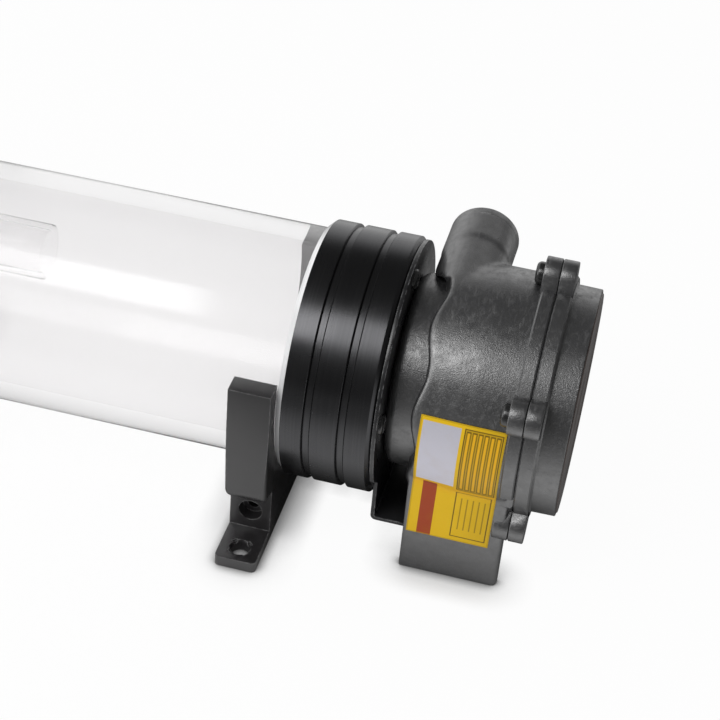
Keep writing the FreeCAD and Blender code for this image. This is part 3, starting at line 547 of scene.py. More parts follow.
ACRYLIC_TINT = (0.965, 0.959, 0.962, 1)
RECIPES = {
    "BlackAnodised": lambda n: turned_metal(n, colour("anodised"), 0.27, 1.0, 2600.0, 0.4),
    # partly painted reflection: the turned edge is bright bare metal, made a near-white, mostly non-metal
    # finish so that it shows white from every side
    "BrightTurnedSheen": lambda n: turned_metal(n, (0.95, 0.95, 0.96, 1), 0.2, 0.3, 3600.0, 0.25),
    "TurnedAcetal": lambda n: turned_metal(n, (0.022, 0.022, 0.023, 1), 0.42, 0.0, 1800.0, 0.6),
    "PumpPlastic": lambda n: moulded_plastic(n, colour("pump"), 420.0, 1300.0, 0.4, (0.27, 0.43), 0.00006,
                                             1.8),
    # painted highlight: the bracket's paler edges stand in for light caught on its rounded edges
    "BracketPlastic": lambda n: grained(n, colour("bracket"), 0.34, 3600.0, 0.5, specular=0.8,
                                        pale_edges=(0.8, grey(0.26))),
    "ImpellerPlastic": lambda n: moulded_plastic(n, (0.05, 0.05, 0.052, 1), 200.0, 1400.0, 0.25),
    # painted highlight: the plate's paler edges stand in for the thin light line along its rim
    "BlackSteel": lambda n: grained(n, (0.012, 0.012, 0.013, 1), 0.3, 2600.0, 0.3, specular=0.6,
                                    pale_edges=(0.8, (0.35, 0.35, 0.36, 1))),
    "ScrewSteel": lambda n: grained(n, grey(0.012), 0.26, 3500.0, 0.25, specular=0.8, pale_edges=(0.5, grey(0.2))),
    "ClearAcrylic": lambda n: clear_plastic(n, ACRYLIC_TINT, 0.93, 0.015, 0.03),
    "ClearBore": lambda n: clear_plastic(n, ACRYLIC_TINT, 0.93, 0.015, 0.03, coat=0.0, ior=1.0),
    "PipeAcrylic": lambda n: clear_plastic(n, (0.97, 0.968, 0.97, 1), 0.97, 0.03, 0.06, coat=0.6),
    "SealRubber": lambda n: grained(n, grey(0.014), 0.6, 3000.0, 0.4),
    "WhiteCeramic": lambda n: grained(n, (0.8, 0.79, 0.75, 1), 0.18, 1500.0, 0.1, vary=0.04),
    "Ferrite": lambda n: grained(n, (0.06, 0.06, 0.064, 1), 0.5, 2600.0, 0.5),
    "Graphite": lambda n: grained(n, (0.035, 0.035, 0.037, 1), 0.35, 3000.0, 0.3),
    "StackedSteel": lambda n: turned_metal(n, (0.4, 0.41, 0.43, 1), 0.4, 1.0, 2200.0, 1.0),
    "CopperWire": lambda n: grained(n, (0.55, 0.2, 0.06, 1), 0.3, 1800.0, 0.8, metallic=0.8),
    "CircuitBoard": lambda n: grained(n, (0.02, 0.12, 0.05, 1), 0.35, 1200.0, 0.3),
    "CoverPlate": lambda n: grained(n, (0.085, 0.066, 0.060, 1), 0.4, 2600.0, 0.5, vary=0.75, relief=0.00006),
    "LabelPrint": label_print,
}


def finish(name):
    """A finish by name, made the first time that it is asked for."""
    return bpy.data.materials.get(name) or RECIPES[name](name)


# Pieces

def collar_profile():
    """Half section of a collar, from its outer face at x = 0 towards the tube."""
    edge, deep = size("collar_edge"), size("groove_depth")
    lip, lip_bore, bore, chamfer = 1.5, 24.5, 30.1, 1.2
    groove, rim, slant = 1.9, 0.15, 0.25
    r, length = COLLAR_RADIUS, COLLAR_LENGTH
    points = [(0, lip_bore), (0, r - chamfer), (chamfer, r)]
    for from_tube in (15.27, 6.75):
        end = length - from_tube
        start = end - groove
        points += [(start - rim, r), (start, r - rim), (start + slant, r - deep), (end - slant, r - deep),
                   (end, r - rim), (end + rim, r)]
    return points + [(length - edge, r), (length, r - edge), (length, bore), (lip, bore), (lip, lip_bore)]


def at_end(bm, pump_end):
    """An end piece, drawn from x = 0 towards the tube, set on the pump's end or on the free end."""
    if pump_end:
        bmesh.ops.scale(bm, vec=(-1, 1, 1), verts=bm.verts)
        bmesh.ops.recalc_face_normals(bm, faces=bm.faces)
        return bm
    return move(bm, (tube_frame("far_end_collar", 0, "x"), 0, 0))


class BuildStep:
    """What every building step has in common"""
    bl_options = {"REGISTER", "UNDO"}


def plain_pipe(node, inner, outer, steps):
    """A pipe round x, as long as its CAD node, with its edges lightly rounded."""
    x0, x1 = tube_frame(node, 0, "x"), tube_frame(node, 1, "x")
    return soften(lathe([(x0, inner), (x0, outer), (x1, outer), (x1, inner)], steps=steps), 0.3)


class RESERVOIR_OT_tube(BuildStep, bpy.types.Operator):
    """Build the clear tube and the return pipe inside it"""
    bl_idname = "reservoir.tube"
    bl_label = "Tube and Return Pipe"

    def execute(self, context):
        bore_limit = 26.0
        tube = plain_pipe("reservoir_tube", 25.0, 30.0, 176)
        for face in tube.faces:
            at = face.calc_center_median()
            face.material_index = int(math.hypot(at.y, at.z) < bore_limit)
        piece("clear_tube", tube, [finish("ClearAcrylic"), finish("ClearBore")],
              ["reservoir_tube"])
        pipe = plain_pipe("return_pipe", 5.5, 7.0, 96)
        middle = (tube_frame("return_pipe", 0, "z") + tube_frame("return_pipe", 1, "z")) / 2
        move(pipe, (0, 0, middle))
        piece("return_pipe_clear", pipe, [finish("PipeAcrylic")], ["return_pipe"])
        return {"FINISHED"}


class RESERVOIR_OT_collars(BuildStep, bpy.types.Operator):
    """Build both turned collars with their grooves and bright edges"""
    bl_idname = "reservoir.collars"
    bl_label = "Collars"

    def execute(self, context):
        bright_from, outside = COLLAR_LENGTH - size("collar_edge"), 30.5
        for node, pump_end in (("pump_end_collar", True), ("far_end_collar", False)):
            bm = lathe(collar_profile(), steps=224)
            for face in bm.faces:
                middle = face.calc_center_median()
                # the turned edge's faces get the near-white finish, a partly painted reflection
                face.material_index = int(middle.x > bright_from and math.hypot(middle.y, middle.z) > outside)
            at_end(bm, pump_end)
            piece(node + "_turned", bm, [finish("BlackAnodised"), finish("BrightTurnedSheen")],
                  [node])
        return {"FINISHED"}


def plug_profile(inner):
    """Half section of an end plug, from the collar's lip towards the tube's inside."""
    face, seat, end = 1.5, 7.0, 15.0
    lip_r, seat_r, r, chamfer = 24.4, 30.0, 24.9, 0.4
    return [(face, inner), (face, lip_r), (face, seat_r), (seat, seat_r), (seat, r), (end - chamfer, r),
            (end, r - chamfer), (end, inner)]


def thread_tool(x0, x1):
    """Tool that cuts the ports' threaded hole: a bar with a ridge at every pitch."""
    r, ridge = PORT_RADIUS, PORT_RADIUS - 0.82
    points = [(x0 - 1, 0), (x0 - 1, r), (x0, r)]
    x = x0
    while x + THREAD_PITCH < x1:
        points += [(x + THREAD_PITCH * 0.42, ridge), (x + THREAD_PITCH * 0.58, ridge), (x + THREAD_PITCH, r)]
        x += THREAD_PITCH
    return lathe(points + [(x1, ridge), (x1, 0)], closed=False, steps=72)


class RESERVOIR_OT_plugs(BuildStep, bpy.types.Operator):
    """Build both end plugs, the threaded ports and the stop plug"""
    bl_idname = "reservoir.plugs"
    bl_label = "End Plugs"

    def execute(self, context):
        acetal = finish("TurnedAcetal")
        suction_bore, port_z = 8.05, 11.5
        seat_r, seat_start, seat_floor = 10.0, 1.0, 1.9
        pipe_socket_r, pipe_socket_start, through = 7.05, 11.0, 16.0
        near = at_end(lathe(plug_profile(suction_bore)), True)
        piece("pump_end_plug_turned", near, [acetal], ["pump_end_plug"])
        far = lathe(plug_profile(0.0), closed=False)
        for z, thread_end in ((port_z, pipe_socket_start), (-port_z, 15.5)):
            far = carve(far, bar(seat_r, seat_start, seat_floor, 0, z, steps=96))
            far = carve(far, move(thread_tool(seat_floor, thread_end), (0, 0, z)))
            if z == port_z:
                far = carve(far, bar(pipe_socket_r, pipe_socket_start, through, 0, z))
        piece("far_end_plug_turned", at_end(far, False), [acetal], ["far_end_plug"])

        front, hexagon, grip_r, knurl_r = -2.0, 6.0, 9.1, 0.32
        stop = lathe([(-1.5, 0), (-1.5, 8.4), (-0.9, 9.0), (1.3, 9.0), (1.9, 8.6), (1.9, 6.5), (9.5, 6.5),
                      (9.9, 6.0), (9.9, 0)], closed=False, steps=120)
        for angle in range(0, 360, 15):
            stop = carve(stop, turn(bar(knurl_r, front, 1.2, grip_r, 0, steps=12), angle))
        stop = carve(stop, bar(hexagon / math.sqrt(3), front, 0.9, steps=6))
        move(stop, (0, 0, -port_z))
        piece("stop_plug_turned", at_end(stop, False), [finish("BlackAnodised")],
              ["stop_plug"], body="stop")
        return {"FINISHED"}


def foot_hole_tools(at):
    """Tools for a foot's screw hole: the hole, its countersink and the four notches round it."""
    hole_r, sink_r, notch_r = 2.25, 2.75, 0.75
    for lower, upper, depth, z in ((hole_r, hole_r, 8, 1.5), (hole_r, sink_r, 0.9, 2.6)):
        tool = bmesh.new()
        bmesh.ops.create_cone(tool, cap_ends=True, segments=48, radius1=lower, radius2=upper, depth=depth)
        yield move(tool, (at[0], at[1], at[2] + z))
    for angle in (45, 135, 225, 315):
        notch = turn(bar(notch_r, 1.9, 3.1, steps=16), angle, "Z")
        yield move(notch, (at[0], at[1], at[2] + BRACKET_FOOT))


def bracket_mesh():
    """Saddle bracket: arms that hold the tube, webs with side holes, and feet with countersunk holes."""
    low, top, web, arm, foot, wide = FLOOR_Z, 8.6, 27.9, 34.4, 40.7, 10.6
    arm_z, arm_round, end_round, foot_round = -25.9, 3.4, 1.5, 1.2
    saddle_r, hole_x, hole_y, side_hole_z = 30.25, 5.3, 35.8, -33.4
    foot_top = low + BRACKET_FOOT
    half = [(-foot, low), (-foot, foot_top), (-web, foot_top), (-web, arm_z), (-arm, arm_z), (-arm, top)]
    corners = half + [(-y, z) for y, z in reversed(half)]
    bm = slab(corners, 0, wide, rounded=[4, 7], radius=arm_round)
    soften(bm, end_round, 4, 30.0, lambda at: abs(at.y) > web + 0.4 and arm_z - 0.5 < at.z < arm_z + 3.5,
           clamp=False)
    soften(bm, foot_round, 4, 30.0,
           lambda at: abs(at.y) > foot - 0.01 and abs(at.z - low - BRACKET_FOOT / 2) < 0.2)
    bm = carve(bm, bar(saddle_r, -1, 12, steps=176))
    soften(bm, size("mould_round"), 3, 35.0)
    for side in (-1, 1):
        for tool in foot_hole_tools((hole_x, side * hole_y, low)):
            bm = carve(bm, tool)
        side_hole = lathe([(0, 0), (0, 3.0), (3.2, 3.0), (3.2, 1.6), (9, 1.6), (9, 0)], closed=False,
                          steps=64)
        turn(side_hole, -90 * side, "Z")
        bm = carve(bm, move(side_hole, (hole_x, side * (web + 0.01), side_hole_z)))
    for near, far in ((-21.0, -1.5), (1.5, 21.0)):
        bm = carve(bm, block(2.0, 8.6, near, far, low - 1, low + 6))
    return bm


class RESERVOIR_OT_brackets(BuildStep, bpy.types.Operator):
    """Build both saddle brackets"""
    bl_idname = "reservoir.brackets"
    bl_label = "Brackets"

    def execute(self, context):
        for node in ("pump_end_bracket", "far_end_bracket"):
            bm = move(bracket_mesh(), (tube_frame(node, 0, "x"), 0, 0))
            piece(node + "_moulded", bm, [finish("BracketPlastic")], [node])
        return {"FINISHED"}


class RESERVOIR_OT_plate(BuildStep, bpy.types.Operator):
    """Build the bent steel plate between the collar and the pump"""
    bl_idname = "reservoir.plate"
    bl_label = "Mounting Plate"

    def execute(self, context):
        thick, outer, leg, shoulder, taper_end, bend, shelf_end = 1.0, 31.9, 22.5, -15.5, -20.0, 1.4, 28.5
        bm = bmesh.new()
        bmesh.ops.create_circle(bm, cap_ends=True, segments=224, radius=outer,
                                matrix=Matrix.Rotation(math.pi / 2, 4, "Y"))
        bmesh.ops.bisect_plane(bm, geom=bm.verts[:] + bm.edges[:] + bm.faces[:], plane_co=(0, 0, shoulder),
                               plane_no=(0, 0, -1), clear_outer=True)
        bottom = [e for e in bm.edges if all(abs(v.co.z - shoulder) < 0.001 for v in e.verts)]
        for drop in (taper_end - shoulder, PLATE_UNDERSIDE + bend - taper_end):
            made = bmesh.ops.extrude_edge_only(bm, edges=bottom)["geom"]
            ends, bottom = of_kind(made, bmesh.types.BMVert), of_kind(made, bmesh.types.BMEdge)
            bmesh.ops.translate(bm, vec=(0, 0, drop), verts=ends)
            for v in ends:
                v.co.y = math.copysign(leg, v.co.y)
        bent = bmesh.ops.spin(bm, geom=ends + bottom, cent=(bend, 0, PLATE_UNDERSIDE + bend), axis=(0, -1, 0),
                              angle=math.pi / 2, steps=8)["geom_last"]
        shelf = bmesh.ops.extrude_edge_only(bm, edges=of_kind(bent, bmesh.types.BMEdge))["geom"]
        bmesh.ops.translate(bm, vec=(shelf_end - bend, 0, 0), verts=of_kind(shelf, bmesh.types.BMVert))
        bmesh.ops.remove_doubles(bm, verts=bm.verts, dist=0.001)
        bmesh.ops.recalc_face_normals(bm, faces=bm.faces)
        front = max(bm.faces, key=lambda f: f.calc_area())
        if front.normal.x > 0:
            bmesh.ops.reverse_faces(bm, faces=bm.faces)
        bmesh.ops.solidify(bm, geom=bm.faces[:], thickness=thick)
        soften(bm, 0.12, 2, 50.0)
        piece("mounting_plate_bent", bm, [finish("BlackSteel")], ["mounting_plate"])
        return {"FINISHED"}


def arc_points(centre_x, centre_r, radius, start, end, count=8):
    """Points of a profile's arc, with angles from the +x side towards larger radius."""
    angles = [math.radians(start + (end - start) * i / count) for i in range(count + 1)]
    return [(centre_x + radius * math.cos(a), centre_r + radius * math.sin(a)) for a in angles]


class RESERVOIR_OT_suction_cover(BuildStep, bpy.types.Operator):
    """Build the round neck between the plate and the pump body"""
    bl_idname = "reservoir.suction_cover"
    bl_label = "Suction Cover"

    def execute(self, context):
        neck_r, neck_round, neck_end, cover_end = 24.2, 2.6, 9.3, 12.0
        corner = arc_points(1.0 + neck_round, neck_r - neck_round, neck_round, 180, 90)
        bm = lathe([(-9.0, 5.5), (-9.0, 7.6), (-8.6, 8.0), (1.0, 8.0)] + corner +
                   [(neck_end, neck_r), (neck_end, 22.0), (cover_end, 22.0), (cover_end, 7.0),
                    (neck_end, 7.0), (1.0, 5.5)])
        ribs = [turn(block(neck_end, cover_end, 2.0, 7.5, -0.7, 0.7), angle) for angle in (90, 210, 330)]
        boss = lathe([(neck_end, 1.55), (neck_end, 2.8), (cover_end, 2.8), (cover_end, 1.55)], steps=48)
        piece("suction_cover_moulded", joined(bm, *ribs, boss), [finish("PumpPlastic")],
              ["suction_cover"])
        return {"FINISHED"}


def lug_mesh(x0, x1):
    """One screw lug, with its root inside the flange."""
    root, tip, half_width = 27.6, 36.8, 4.4
    corners = [(root, -half_width), (tip, -half_width), (tip, half_width), (root, half_width)]
    bm = slab(corners, x0, x1, rounded=[1, 2], radius=4.3, segments=14)
    return soften(bm, size("mould_round"), 3, 50.0, lambda at: at.y > 30.5)


def at_spout(bm, x=SPOUT_X):
    """A shape drawn along x, set along the spout that leads to the back."""
    return move(turn(bm, 90, "Z"), (x, 0, SPOUT_Z))


def body_mesh():
    """Outside of the pump body: turned form with a scalloped front edge, a tangent spout and legs."""
    front, rim, wave, wave_reach = 8.8, size("body_round"), size("scallop"), 7.0
    profile = [(front, 0.0), (front, 12.0), (front, 20.0)]
    profile += arc_points(front + rim, 29.0 - rim, rim, 180, 90)
    profile += [(12.5, 29.1), (14.0, 29.22), (16.0, 29.35), (19.0, 29.55), (22.0, BODY_RADIUS),
                (33.2, BODY_RADIUS), (33.2, 0.0)]
    body = lathe(profile, closed=False, steps=288)
    for v in body.verts:
        fade = max(0.0, 1.0 - max(0.0, v.co.x - front) / wave_reach)
        angle = math.atan2(v.co.z, v.co.y) - math.radians(121.0)
        v.co.x -= wave * math.cos(8 * angle) * fade * fade * (3 - 2 * fade)

    thin, thick = 8.65, SPOUT_RADIUS
    spout = at_spout(lathe([(1.0, 0.0), (1.0, thin), (19.2, thin), (20.6, thick), (31.6, thick), (31.6, 0.0)],
                           closed=False, steps=128))
    cut_end = 8.2  # in front of the body the spout keeps clear of the neck
    spout = carve(spout, slab([(-20, 6), (-20, 41.6), (13.5, 19.4), (13.5, 6)], 0.0, cut_end))
    spout = carve(spout, bar(24.6, 0.0, cut_end, steps=176))

    legs = []
    for side in (-1, 1):
        near, far = sorted((side * 23.0, side * LEG_SIDE))
        wall = block(9.0, 34.0, near, far, FLOOR_Z, -8.0)
        legs.append(soften(wall, 1.2, 4, 50.0, lambda at, outside=side * LEG_SIDE:
                           abs(at.y - outside) < 0.01 and at.x > 33 and -41 < at.z < -9))
    return joined(body, spout, *legs)


class RESERVOIR_OT_pump_housing(BuildStep, bpy.types.Operator):
    """Build the pump body with its spout, flange, lugs and legs"""
    bl_idname = "reservoir.pump_housing"
    bl_label = "Pump Housing"

    def execute(self, context):
        flange_start, flange_end, flange_root = 31.3, 34.8, 27.6
        skin = moulded(body_mesh(), 0.5, 5)
        for v in skin.verts:
            v.co.z = max(v.co.z, FLOOR_Z)
        passage_x = 13.5
        passage = at_spout(bar(3.8, 3.0, 24.0, steps=48), passage_x)
        for tool in (bar(24.25, 0.0, 9.3, steps=176), bar(22.05, 9.0, 20.5, steps=144),
                     bar(27.05, 20.5, 36.0, steps=144), passage, at_spout(bar(7.4, 22.4, 34.0, steps=96))):
            skin = carve(skin, tool)

        flange = lathe([(flange_start, flange_root), (flange_start, FLANGE_RADIUS),
                        (flange_end, FLANGE_RADIUS), (flange_end, flange_root)], steps=224)
        soften(flange, size("mould_round"), 1)
        flange = carve(flange, block(30.0, 36.0, -40.0, -LEG_SIDE, -40.0, -11.2))
        lugs = [turn(lug_mesh(LUG_FRONT, flange_end), angle) for angle in LUG_ANGLES]

        thread_start, thread_end, sleeve_r = 22.3, 32.4, 7.6
        edge = arc_points(32.8, SPOUT_RADIUS - 0.5, 0.5, 90, 0, 4)
        mouth = at_spout(lathe([(30.6, 7.2), (30.6, 8.8), (30.7, SPOUT_RADIUS), (32.8, SPOUT_RADIUS)] + edge +
                               [(33.3, 7.5), (thread_end, PORT_RADIUS), (thread_start, PORT_RADIUS)],
                               steps=128))
        root, ridge = 6.62, 0.8
        turns = [(thread_start + THREAD_PITCH * i / 2, root - ridge * (i % 2)) for i in range(15)]
        turns += [(thread_end, root), (thread_end, sleeve_r), (thread_start, sleeve_r)]
        thread = at_spout(lathe(turns, steps=96))
        screw_pad = soften(block(10.5, 20.0, -14.0, 14.0, -31.2, -24.0), 0.4)
        piece("pump_housing_moulded", joined(skin, flange, *lugs, mouth, thread, screw_pad),
              [finish("PumpPlastic")], ["pump_housing"])
        return {"FINISHED"}


class RESERVOIR_OT_motor_housing(BuildStep, bpy.types.Operator):
    """Build the motor's flange, lugs, can and rear cover"""
    bl_idname = "reservoir.motor_housing"
    bl_label = "Motor Housing"

    def execute(self, context):
        flange_start, flange_end, inside, rear = 34.94, 38.7, 25.3, 44.4
        can = lathe([(23.1, inside), (23.1, 26.9), (34.9, 26.9), (flange_start, 27.3),
                     (flange_start, FLANGE_RADIUS), (flange_end, FLANGE_RADIUS), (flange_end, 28.9),
                     (39.1, 28.5), (44.75, 28.4), (44.9, 28.25), (44.9, 27.65), (rear, 27.65), (rear, inside)],
                    steps=224)
        soften(can, size("mould_round"), 1, 50.0, lambda at: at.x < 44)
        floor = lathe([(42.9, 0), (42.9, 25.6), (44.35, 25.6), (44.35, 0)], closed=False)
        lugs = [turn(lug_mesh(flange_start, flange_end), angle) for angle in LUG_ANGLES]
        piece("motor_housing_moulded", joined(can, floor, *lugs), [finish("PumpPlastic")],
              ["motor_housing"])
        cover = lathe([(rear, 0), (rear, 27.5), (45.1, 27.5), (45.25, 27.35), (45.25, 21.0), (45.05, 20.6),
                       (45.05, 8.0), (45.25, 7.6), (45.25, 0)], closed=False)
        piece("rear_cover_plate", cover, [finish("CoverPlate")], ["rear_cover"])
        return {"FINISHED"}


def screw_mesh(head_r, head_t, length, button):
    """Screw along x, its head's seat on x = 0 and its thread towards -x. A button head has a hexagon recess,
    a pan head a cross."""
    side, crown = (0.3, 0.45) if button else (0.45, 0.62)
    points = [(0, 0), (0, head_r), (head_t * side, head_r)]
    for a in (math.pi / 2 * i / 7 for i in range(1, 8)):
        points.append((head_t * (side + (1 - side) * math.sin(a)),
                       head_r * (crown + (1 - crown) * math.cos(a))))
    head = lathe(points + [(head_t, 0)], closed=False, steps=64)
    if button:
        hexagon = 2.0
        head = carve(head, bar(hexagon / math.sqrt(3), head_t * 0.35, head_t + 1, steps=6))
    else:
        half, arm, deep = 0.36, head_r * 0.55, head_t - 1.2
        for y, z in ((arm, half), (half, arm)):
            head = carve(head, block(deep, head_t + 1, -y, y, -z, z))
    shank = soften(bar(1.5, -length, 0.3, steps=32), 0.3, 1, 50.0, lambda at: at.x < -length + 0.1)
    return joined(head, shank)


class RESERVOIR_OT_screws(BuildStep, bpy.types.Operator):
    """Build the screws of the plate, the pump and the lugs"""
    bl_idname = "reservoir.screws"
    bl_label = "Screws"

    def execute(self, context):
        plate = [turn(move(screw_mesh(2.5, 1.15, 6.0, True), (1.0, PLATE_SCREW_CIRCLE, 0)), angle)
                 for angle in PLATE_SCREW_ANGLES]
        below = [move(turn(screw_mesh(2.75, 1.65, 5.0, True), 90, "Y"), (15.0, y, PLATE_UNDERSIDE))
                 for y in (-10, 10)]
        seat = (LUG_FRONT, LUG_CIRCLE, 0)
        lugs = [turn(move(turn(screw_mesh(2.8, 2.0, 7.6, False), 180, "Z"), seat), angle)
                for angle in LUG_ANGLES]
        for name, screws, node in (("plate_screws_button", plate, "plate_screws"),
                                   ("pump_screws_button", below, "pump_screws"),
                                   ("lug_screws_pan", lugs, "housing_screws")):
            piece(name, joined(*screws), [finish("ScrewSteel")], [node])
        return {"FINISHED"}


class RESERVOIR_OT_label(BuildStep, bpy.types.Operator):
    """Build the rating label over the round body and the front leg"""
    bl_idname = "reservoir.label"
    bl_label = "Rating Label"

    def execute(self, context):
        columns, rows, short, full = 22, 60, 29.0, BODY_RADIUS
        leg_y, bottom, top_angle = -26.25, -29.5, 163.0
        left, width, skew, clear = 10.2, 20.6, 0.6, 0.06
        crease_angle = 360.0 - math.degrees(math.acos(leg_y / BODY_RADIUS))
        crease_z = -math.sqrt(BODY_RADIUS ** 2 - leg_y ** 2)
        curve_length = math.radians(crease_angle - top_angle) * BODY_RADIUS
        length = curve_length + crease_z - bottom
        bm = bmesh.new()
        bmesh.ops.create_grid(bm, x_segments=columns, y_segments=rows, size=0.5)
        layer = bm.loops.layers.uv.new("label")
        for face in bm.faces:
            for loop in face.loops:
                loop[layer].uv = (loop.vert.co.x + 0.5, 0.5 - loop.vert.co.y)
        for v in bm.verts:
            u, down = v.co.x + 0.5, (0.5 - v.co.y) * length
            x = left + width * u + skew * (0.5 - down / length)
            r = short + (full - short) * min(1.0, max(0.0, (x - 10.3) / 11.7)) + clear
            if down < curve_length:
                angle = math.radians(top_angle) + down / BODY_RADIUS
                v.co = (x, min(r * math.cos(angle), 0), r * math.sin(angle))
                if v.co.z < 0 and v.co.y > leg_y:
                    v.co.y = leg_y
            else:
                v.co = (x, leg_y, crease_z - (down - curve_length))
        bmesh.ops.recalc_face_normals(bm, faces=bm.faces)
        if sum(face.normal.y for face in bm.faces) > 0:
            bmesh.ops.reverse_faces(bm, faces=bm.faces)
        bmesh.ops.solidify(bm, geom=bm.faces[:], thickness=-size("label_thickness"))
        piece("rating_label_film", bm, [finish("LabelPrint")], ["rating_label"], sharp=50.0)
        return {"FINISHED"}


INNER_FINISHES = {
    "SealRubber": ["plug_seals", "stop_plug_seal", "nipple_seal", "cover_seal", "housing_seal", "can_seal",
                   "cable_grommet"],
    "ImpellerPlastic": ["impeller", "separation_can"],
    "Graphite": ["rotor_bush"],
    "Ferrite": ["rotor_magnet"],
    "WhiteCeramic": ["motor_shaft", "thrust_washers"],
    "StackedSteel": ["stator_core"],
    "CopperWire": ["stator_coils"],
    "CircuitBoard": ["control_board"],
}


class RESERVOIR_OT_inner_parts(BuildStep, bpy.types.Operator):
    """Give the seals, the rotor and the motor's inner pieces their finishes"""
    bl_idname = "reservoir.inner_parts"
    bl_label = "Inner Parts"

    def execute(self, context):
        for name, nodes in INNER_FINISHES.items():
            for node in nodes:
                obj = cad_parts[node]
                for slot in obj.material_slots:
                    slot.material = finish(name)
        return {"FINISHED"}


def soft_light(name, at, towards, wide, high, power):
    """A soft rectangular studio light."""
    data = bpy.data.lights.new(name, "AREA")
    data.shape = "RECTANGLE"
    data.size, data.size_y = wide, high
    data.energy = power
    obj = bpy.data.objects.new(name, data)
    bpy.context.scene.collection.objects.link(obj)
    obj.location = at
    obj.rotation_euler = (Vector(towards) - Vector(at)).to_track_quat("-Z", "Y").to_euler()


def seen_white(tree, direct, mirrored):
    """Shares of white for what is seen directly or through clear plastic, and for reflections."""
    path = add(tree, "LightPath").outputs
    seen = highest(tree, path["Is Camera Ray"], path["Is Transmission Ray"])
    return highest(tree, times(tree, seen, direct), times(tree, path["Is Glossy Ray"], mirrored))


def openness(tree, distance):
    """How open the floor is to the sky within a distance."""
    node = add(tree, "AmbientOcclusion", Distance=distance)
    node.samples = 8
    return node.outputs["AO"]


def studio_floor():
    """White floor, shaded where a piece stands on it, and darker where a glossy piece mirrors it."""
    material = bpy.data.materials.new("StudioFloor")
    material.use_nodes = True
    tree = material.node_tree
    tree.nodes.clear()
    tucked = math_node(tree, "POWER", openness(tree, 0.003), 2.0)
    tone = blend_colours(tree, tucked, grey(0.05), grey(0.88))
    tone = blend_colours(tree, add(tree, "LightPath").outputs["Is Glossy Ray"], tone, grey(0.15))
    place = add(tree, "SeparateXYZ", Vector=add(tree, "TexCoord").outputs["Object"]).outputs["Y"]
    shadow = times(tree, math_node(tree, "POWER", openness(tree, 0.01), 3.0), 0.96)
    near = spread(tree, place, -0.16, -0.07, 0.15, 1.0)
    beside = highest(tree, spread(tree, place, -0.02, -0.045, 0.15, 1.0),
                     spread(tree, place, 0.15, 0.4, 0.15, 1.0))
    mirrored = times(tree, times(tree, near, beside), spread(tree, openness(tree, 0.04), 0.3, 0.7))
    mix = add(tree, "MixShader", Fac=seen_white(tree, shadow, mirrored))
    feed(tree, mix.inputs[1], add(tree, "BsdfDiffuse", Color=tone).outputs["BSDF"])
    feed(tree, mix.inputs[2], add(tree, "Emission", Strength=1.0).outputs["Emission"])
    add(tree, "OutputMaterial", Surface=mix.outputs["Shader"])
    return material


def studio_world():
    """White backdrop where it is seen, and patches of it, behind and at the left, where it is mirrored."""
    world = bpy.data.worlds.new("Studio")
    world.use_nodes = True
    tree = world.node_tree
    facing = add(tree, "SeparateXYZ", Vector=add(tree, "TexCoord").outputs["Generated"]).outputs
    behind = spread(tree, facing["Y"], 0.1, 0.45)
    below = times(tree, spread(tree, facing["Z"], 0.62, 0.36), spread(tree, facing["X"], 0.55, 0.2))
    left = spread(tree, facing["X"], -0.4, -0.65)
    backdrop = spread(tree, highest(tree, times(tree, behind, below), left), 0.0, 1.0, 0.1, 1.0)
    plain = times(tree, add(tree, "LightPath").outputs["Is Diffuse Ray"], 0.5)
    fill(tree, tree.nodes["Background"], Color=grey(1.0),
         Strength=highest(tree, seen_white(tree, 1.0, backdrop), plain))
    return world


def photo_camera():
    """Camera at the place and angle that fit the photograph."""
    turned, rise, roll = math.radians(10.899), math.radians(37.033), math.radians(5.463)
    distance, focal_pixels, sensor = 0.4478, 1787.9, 36.0
    target = Vector((FACE_X - 10.656 * MM, 0, AXIS_Z - 1.183 * MM))
    back = Vector((math.sin(turned) * math.cos(rise), -math.cos(turned) * math.cos(rise), math.sin(rise)))
    right = Vector((math.cos(turned), math.sin(turned), 0))
    up = back.cross(right)
    across = right * math.cos(roll) + up * math.sin(roll)
    upward = up * math.cos(roll) - right * math.sin(roll)
    data = bpy.data.cameras.new("photo_camera")
    data.sensor_width = sensor
    data.lens = focal_pixels / PHOTO_WIDTH * sensor
    data.clip_start = 0.01
    camera = bpy.data.objects.new("photo_camera", data)
    placed = Matrix((across, upward, back)).transposed().to_4x4()
    placed.translation = target + back * distance
    camera.matrix_world = placed
    return camera


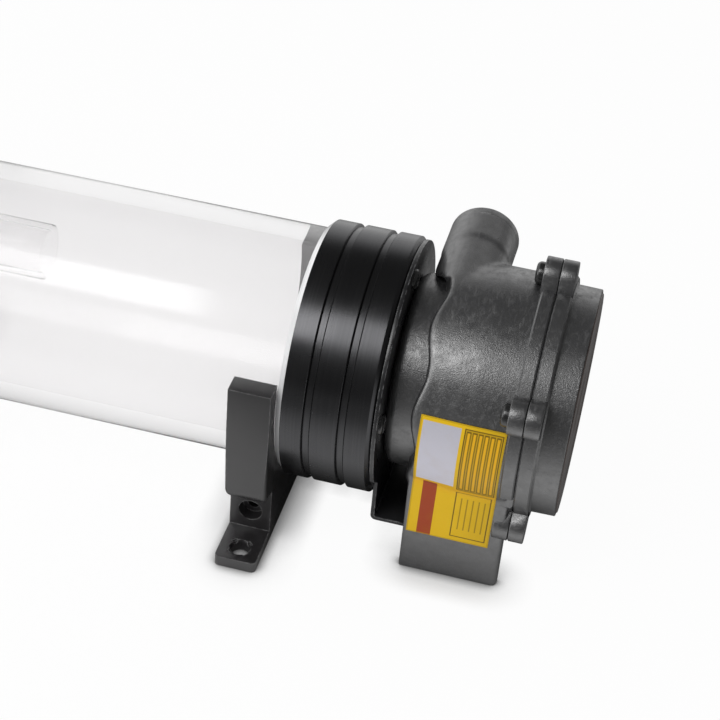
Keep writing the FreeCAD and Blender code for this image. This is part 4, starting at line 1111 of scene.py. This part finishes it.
class RESERVOIR_OT_stage(BuildStep, bpy.types.Operator):
    """Set up the pale floor, the soft lights and the camera at the photograph's angle"""
    bl_idname = "reservoir.stage"
    bl_label = "Stage"

    def execute(self, context):
        scene = context.scene
        bm = bmesh.new()
        bmesh.ops.create_circle(bm, cap_ends=True, segments=96, radius=4.0)
        mesh = bpy.data.meshes.new("floor")
        bm.to_mesh(mesh)
        bm.free()
        mesh.materials.append(studio_floor())
        floor = bpy.data.objects.new("floor", mesh)
        scene.collection.objects.link(floor)
        scene.world = studio_world()
        soft_light("key", (-0.31, -0.46, 0.70), (-0.31, 0.0, 0.04), 0.56, 0.36, 3.1)
        soft_light("left", (-0.75, -0.5, 0.3), (0.06, 0.0, 0.04), 0.3, 0.5, 1.0)
        camera = photo_camera()
        scene.collection.objects.link(camera)
        scene.camera = camera
        scene.view_settings.view_transform = "Standard"
        return {"FINISHED"}


class RESERVOIR_PT_panel(bpy.types.Panel):
    """Sidebar panel with the settings and the build steps"""
    bl_idname = "RESERVOIR_PT_panel"
    bl_label = "Coolant Pump Reservoir"
    bl_space_type = "VIEW_3D"
    bl_region_type = "UI"
    bl_category = "Reservoir"

    def draw(self, context):
        layout = self.layout
        for group in (context.scene.reservoir_sizes, context.scene.reservoir_colours):
            box = layout.box()
            for name in group.__annotations__:
                box.prop(group, name)
        for step in STEPS:
            layout.operator(step.bl_idname)


STEPS = (RESERVOIR_OT_tube, RESERVOIR_OT_collars, RESERVOIR_OT_plugs, RESERVOIR_OT_brackets,
         RESERVOIR_OT_plate, RESERVOIR_OT_suction_cover, RESERVOIR_OT_pump_housing,
         RESERVOIR_OT_motor_housing, RESERVOIR_OT_screws, RESERVOIR_OT_label, RESERVOIR_OT_inner_parts,
         RESERVOIR_OT_stage)
CLASSES = (ReservoirSizes, ReservoirColours, *STEPS, RESERVOIR_PT_panel)


def register():
    for cls in CLASSES:
        bpy.utils.register_class(cls)
    bpy.types.Scene.reservoir_sizes = bpy.props.PointerProperty(type=ReservoirSizes)
    bpy.types.Scene.reservoir_colours = bpy.props.PointerProperty(type=ReservoirColours)


def unregister():
    del bpy.types.Scene.reservoir_colours
    del bpy.types.Scene.reservoir_sizes
    for cls in reversed(CLASSES):
        bpy.utils.unregister_class(cls)


def main():
    register()
    bpy.ops.reservoir.tube()
    bpy.ops.reservoir.collars()
    bpy.ops.reservoir.plugs()
    bpy.ops.reservoir.brackets()
    bpy.ops.reservoir.plate()
    bpy.ops.reservoir.suction_cover()
    bpy.ops.reservoir.pump_housing()
    bpy.ops.reservoir.motor_housing()
    bpy.ops.reservoir.screws()
    bpy.ops.reservoir.label()
    bpy.ops.reservoir.inner_parts()
    bpy.ops.reservoir.stage()


if __name__ == "__main__":
    main()
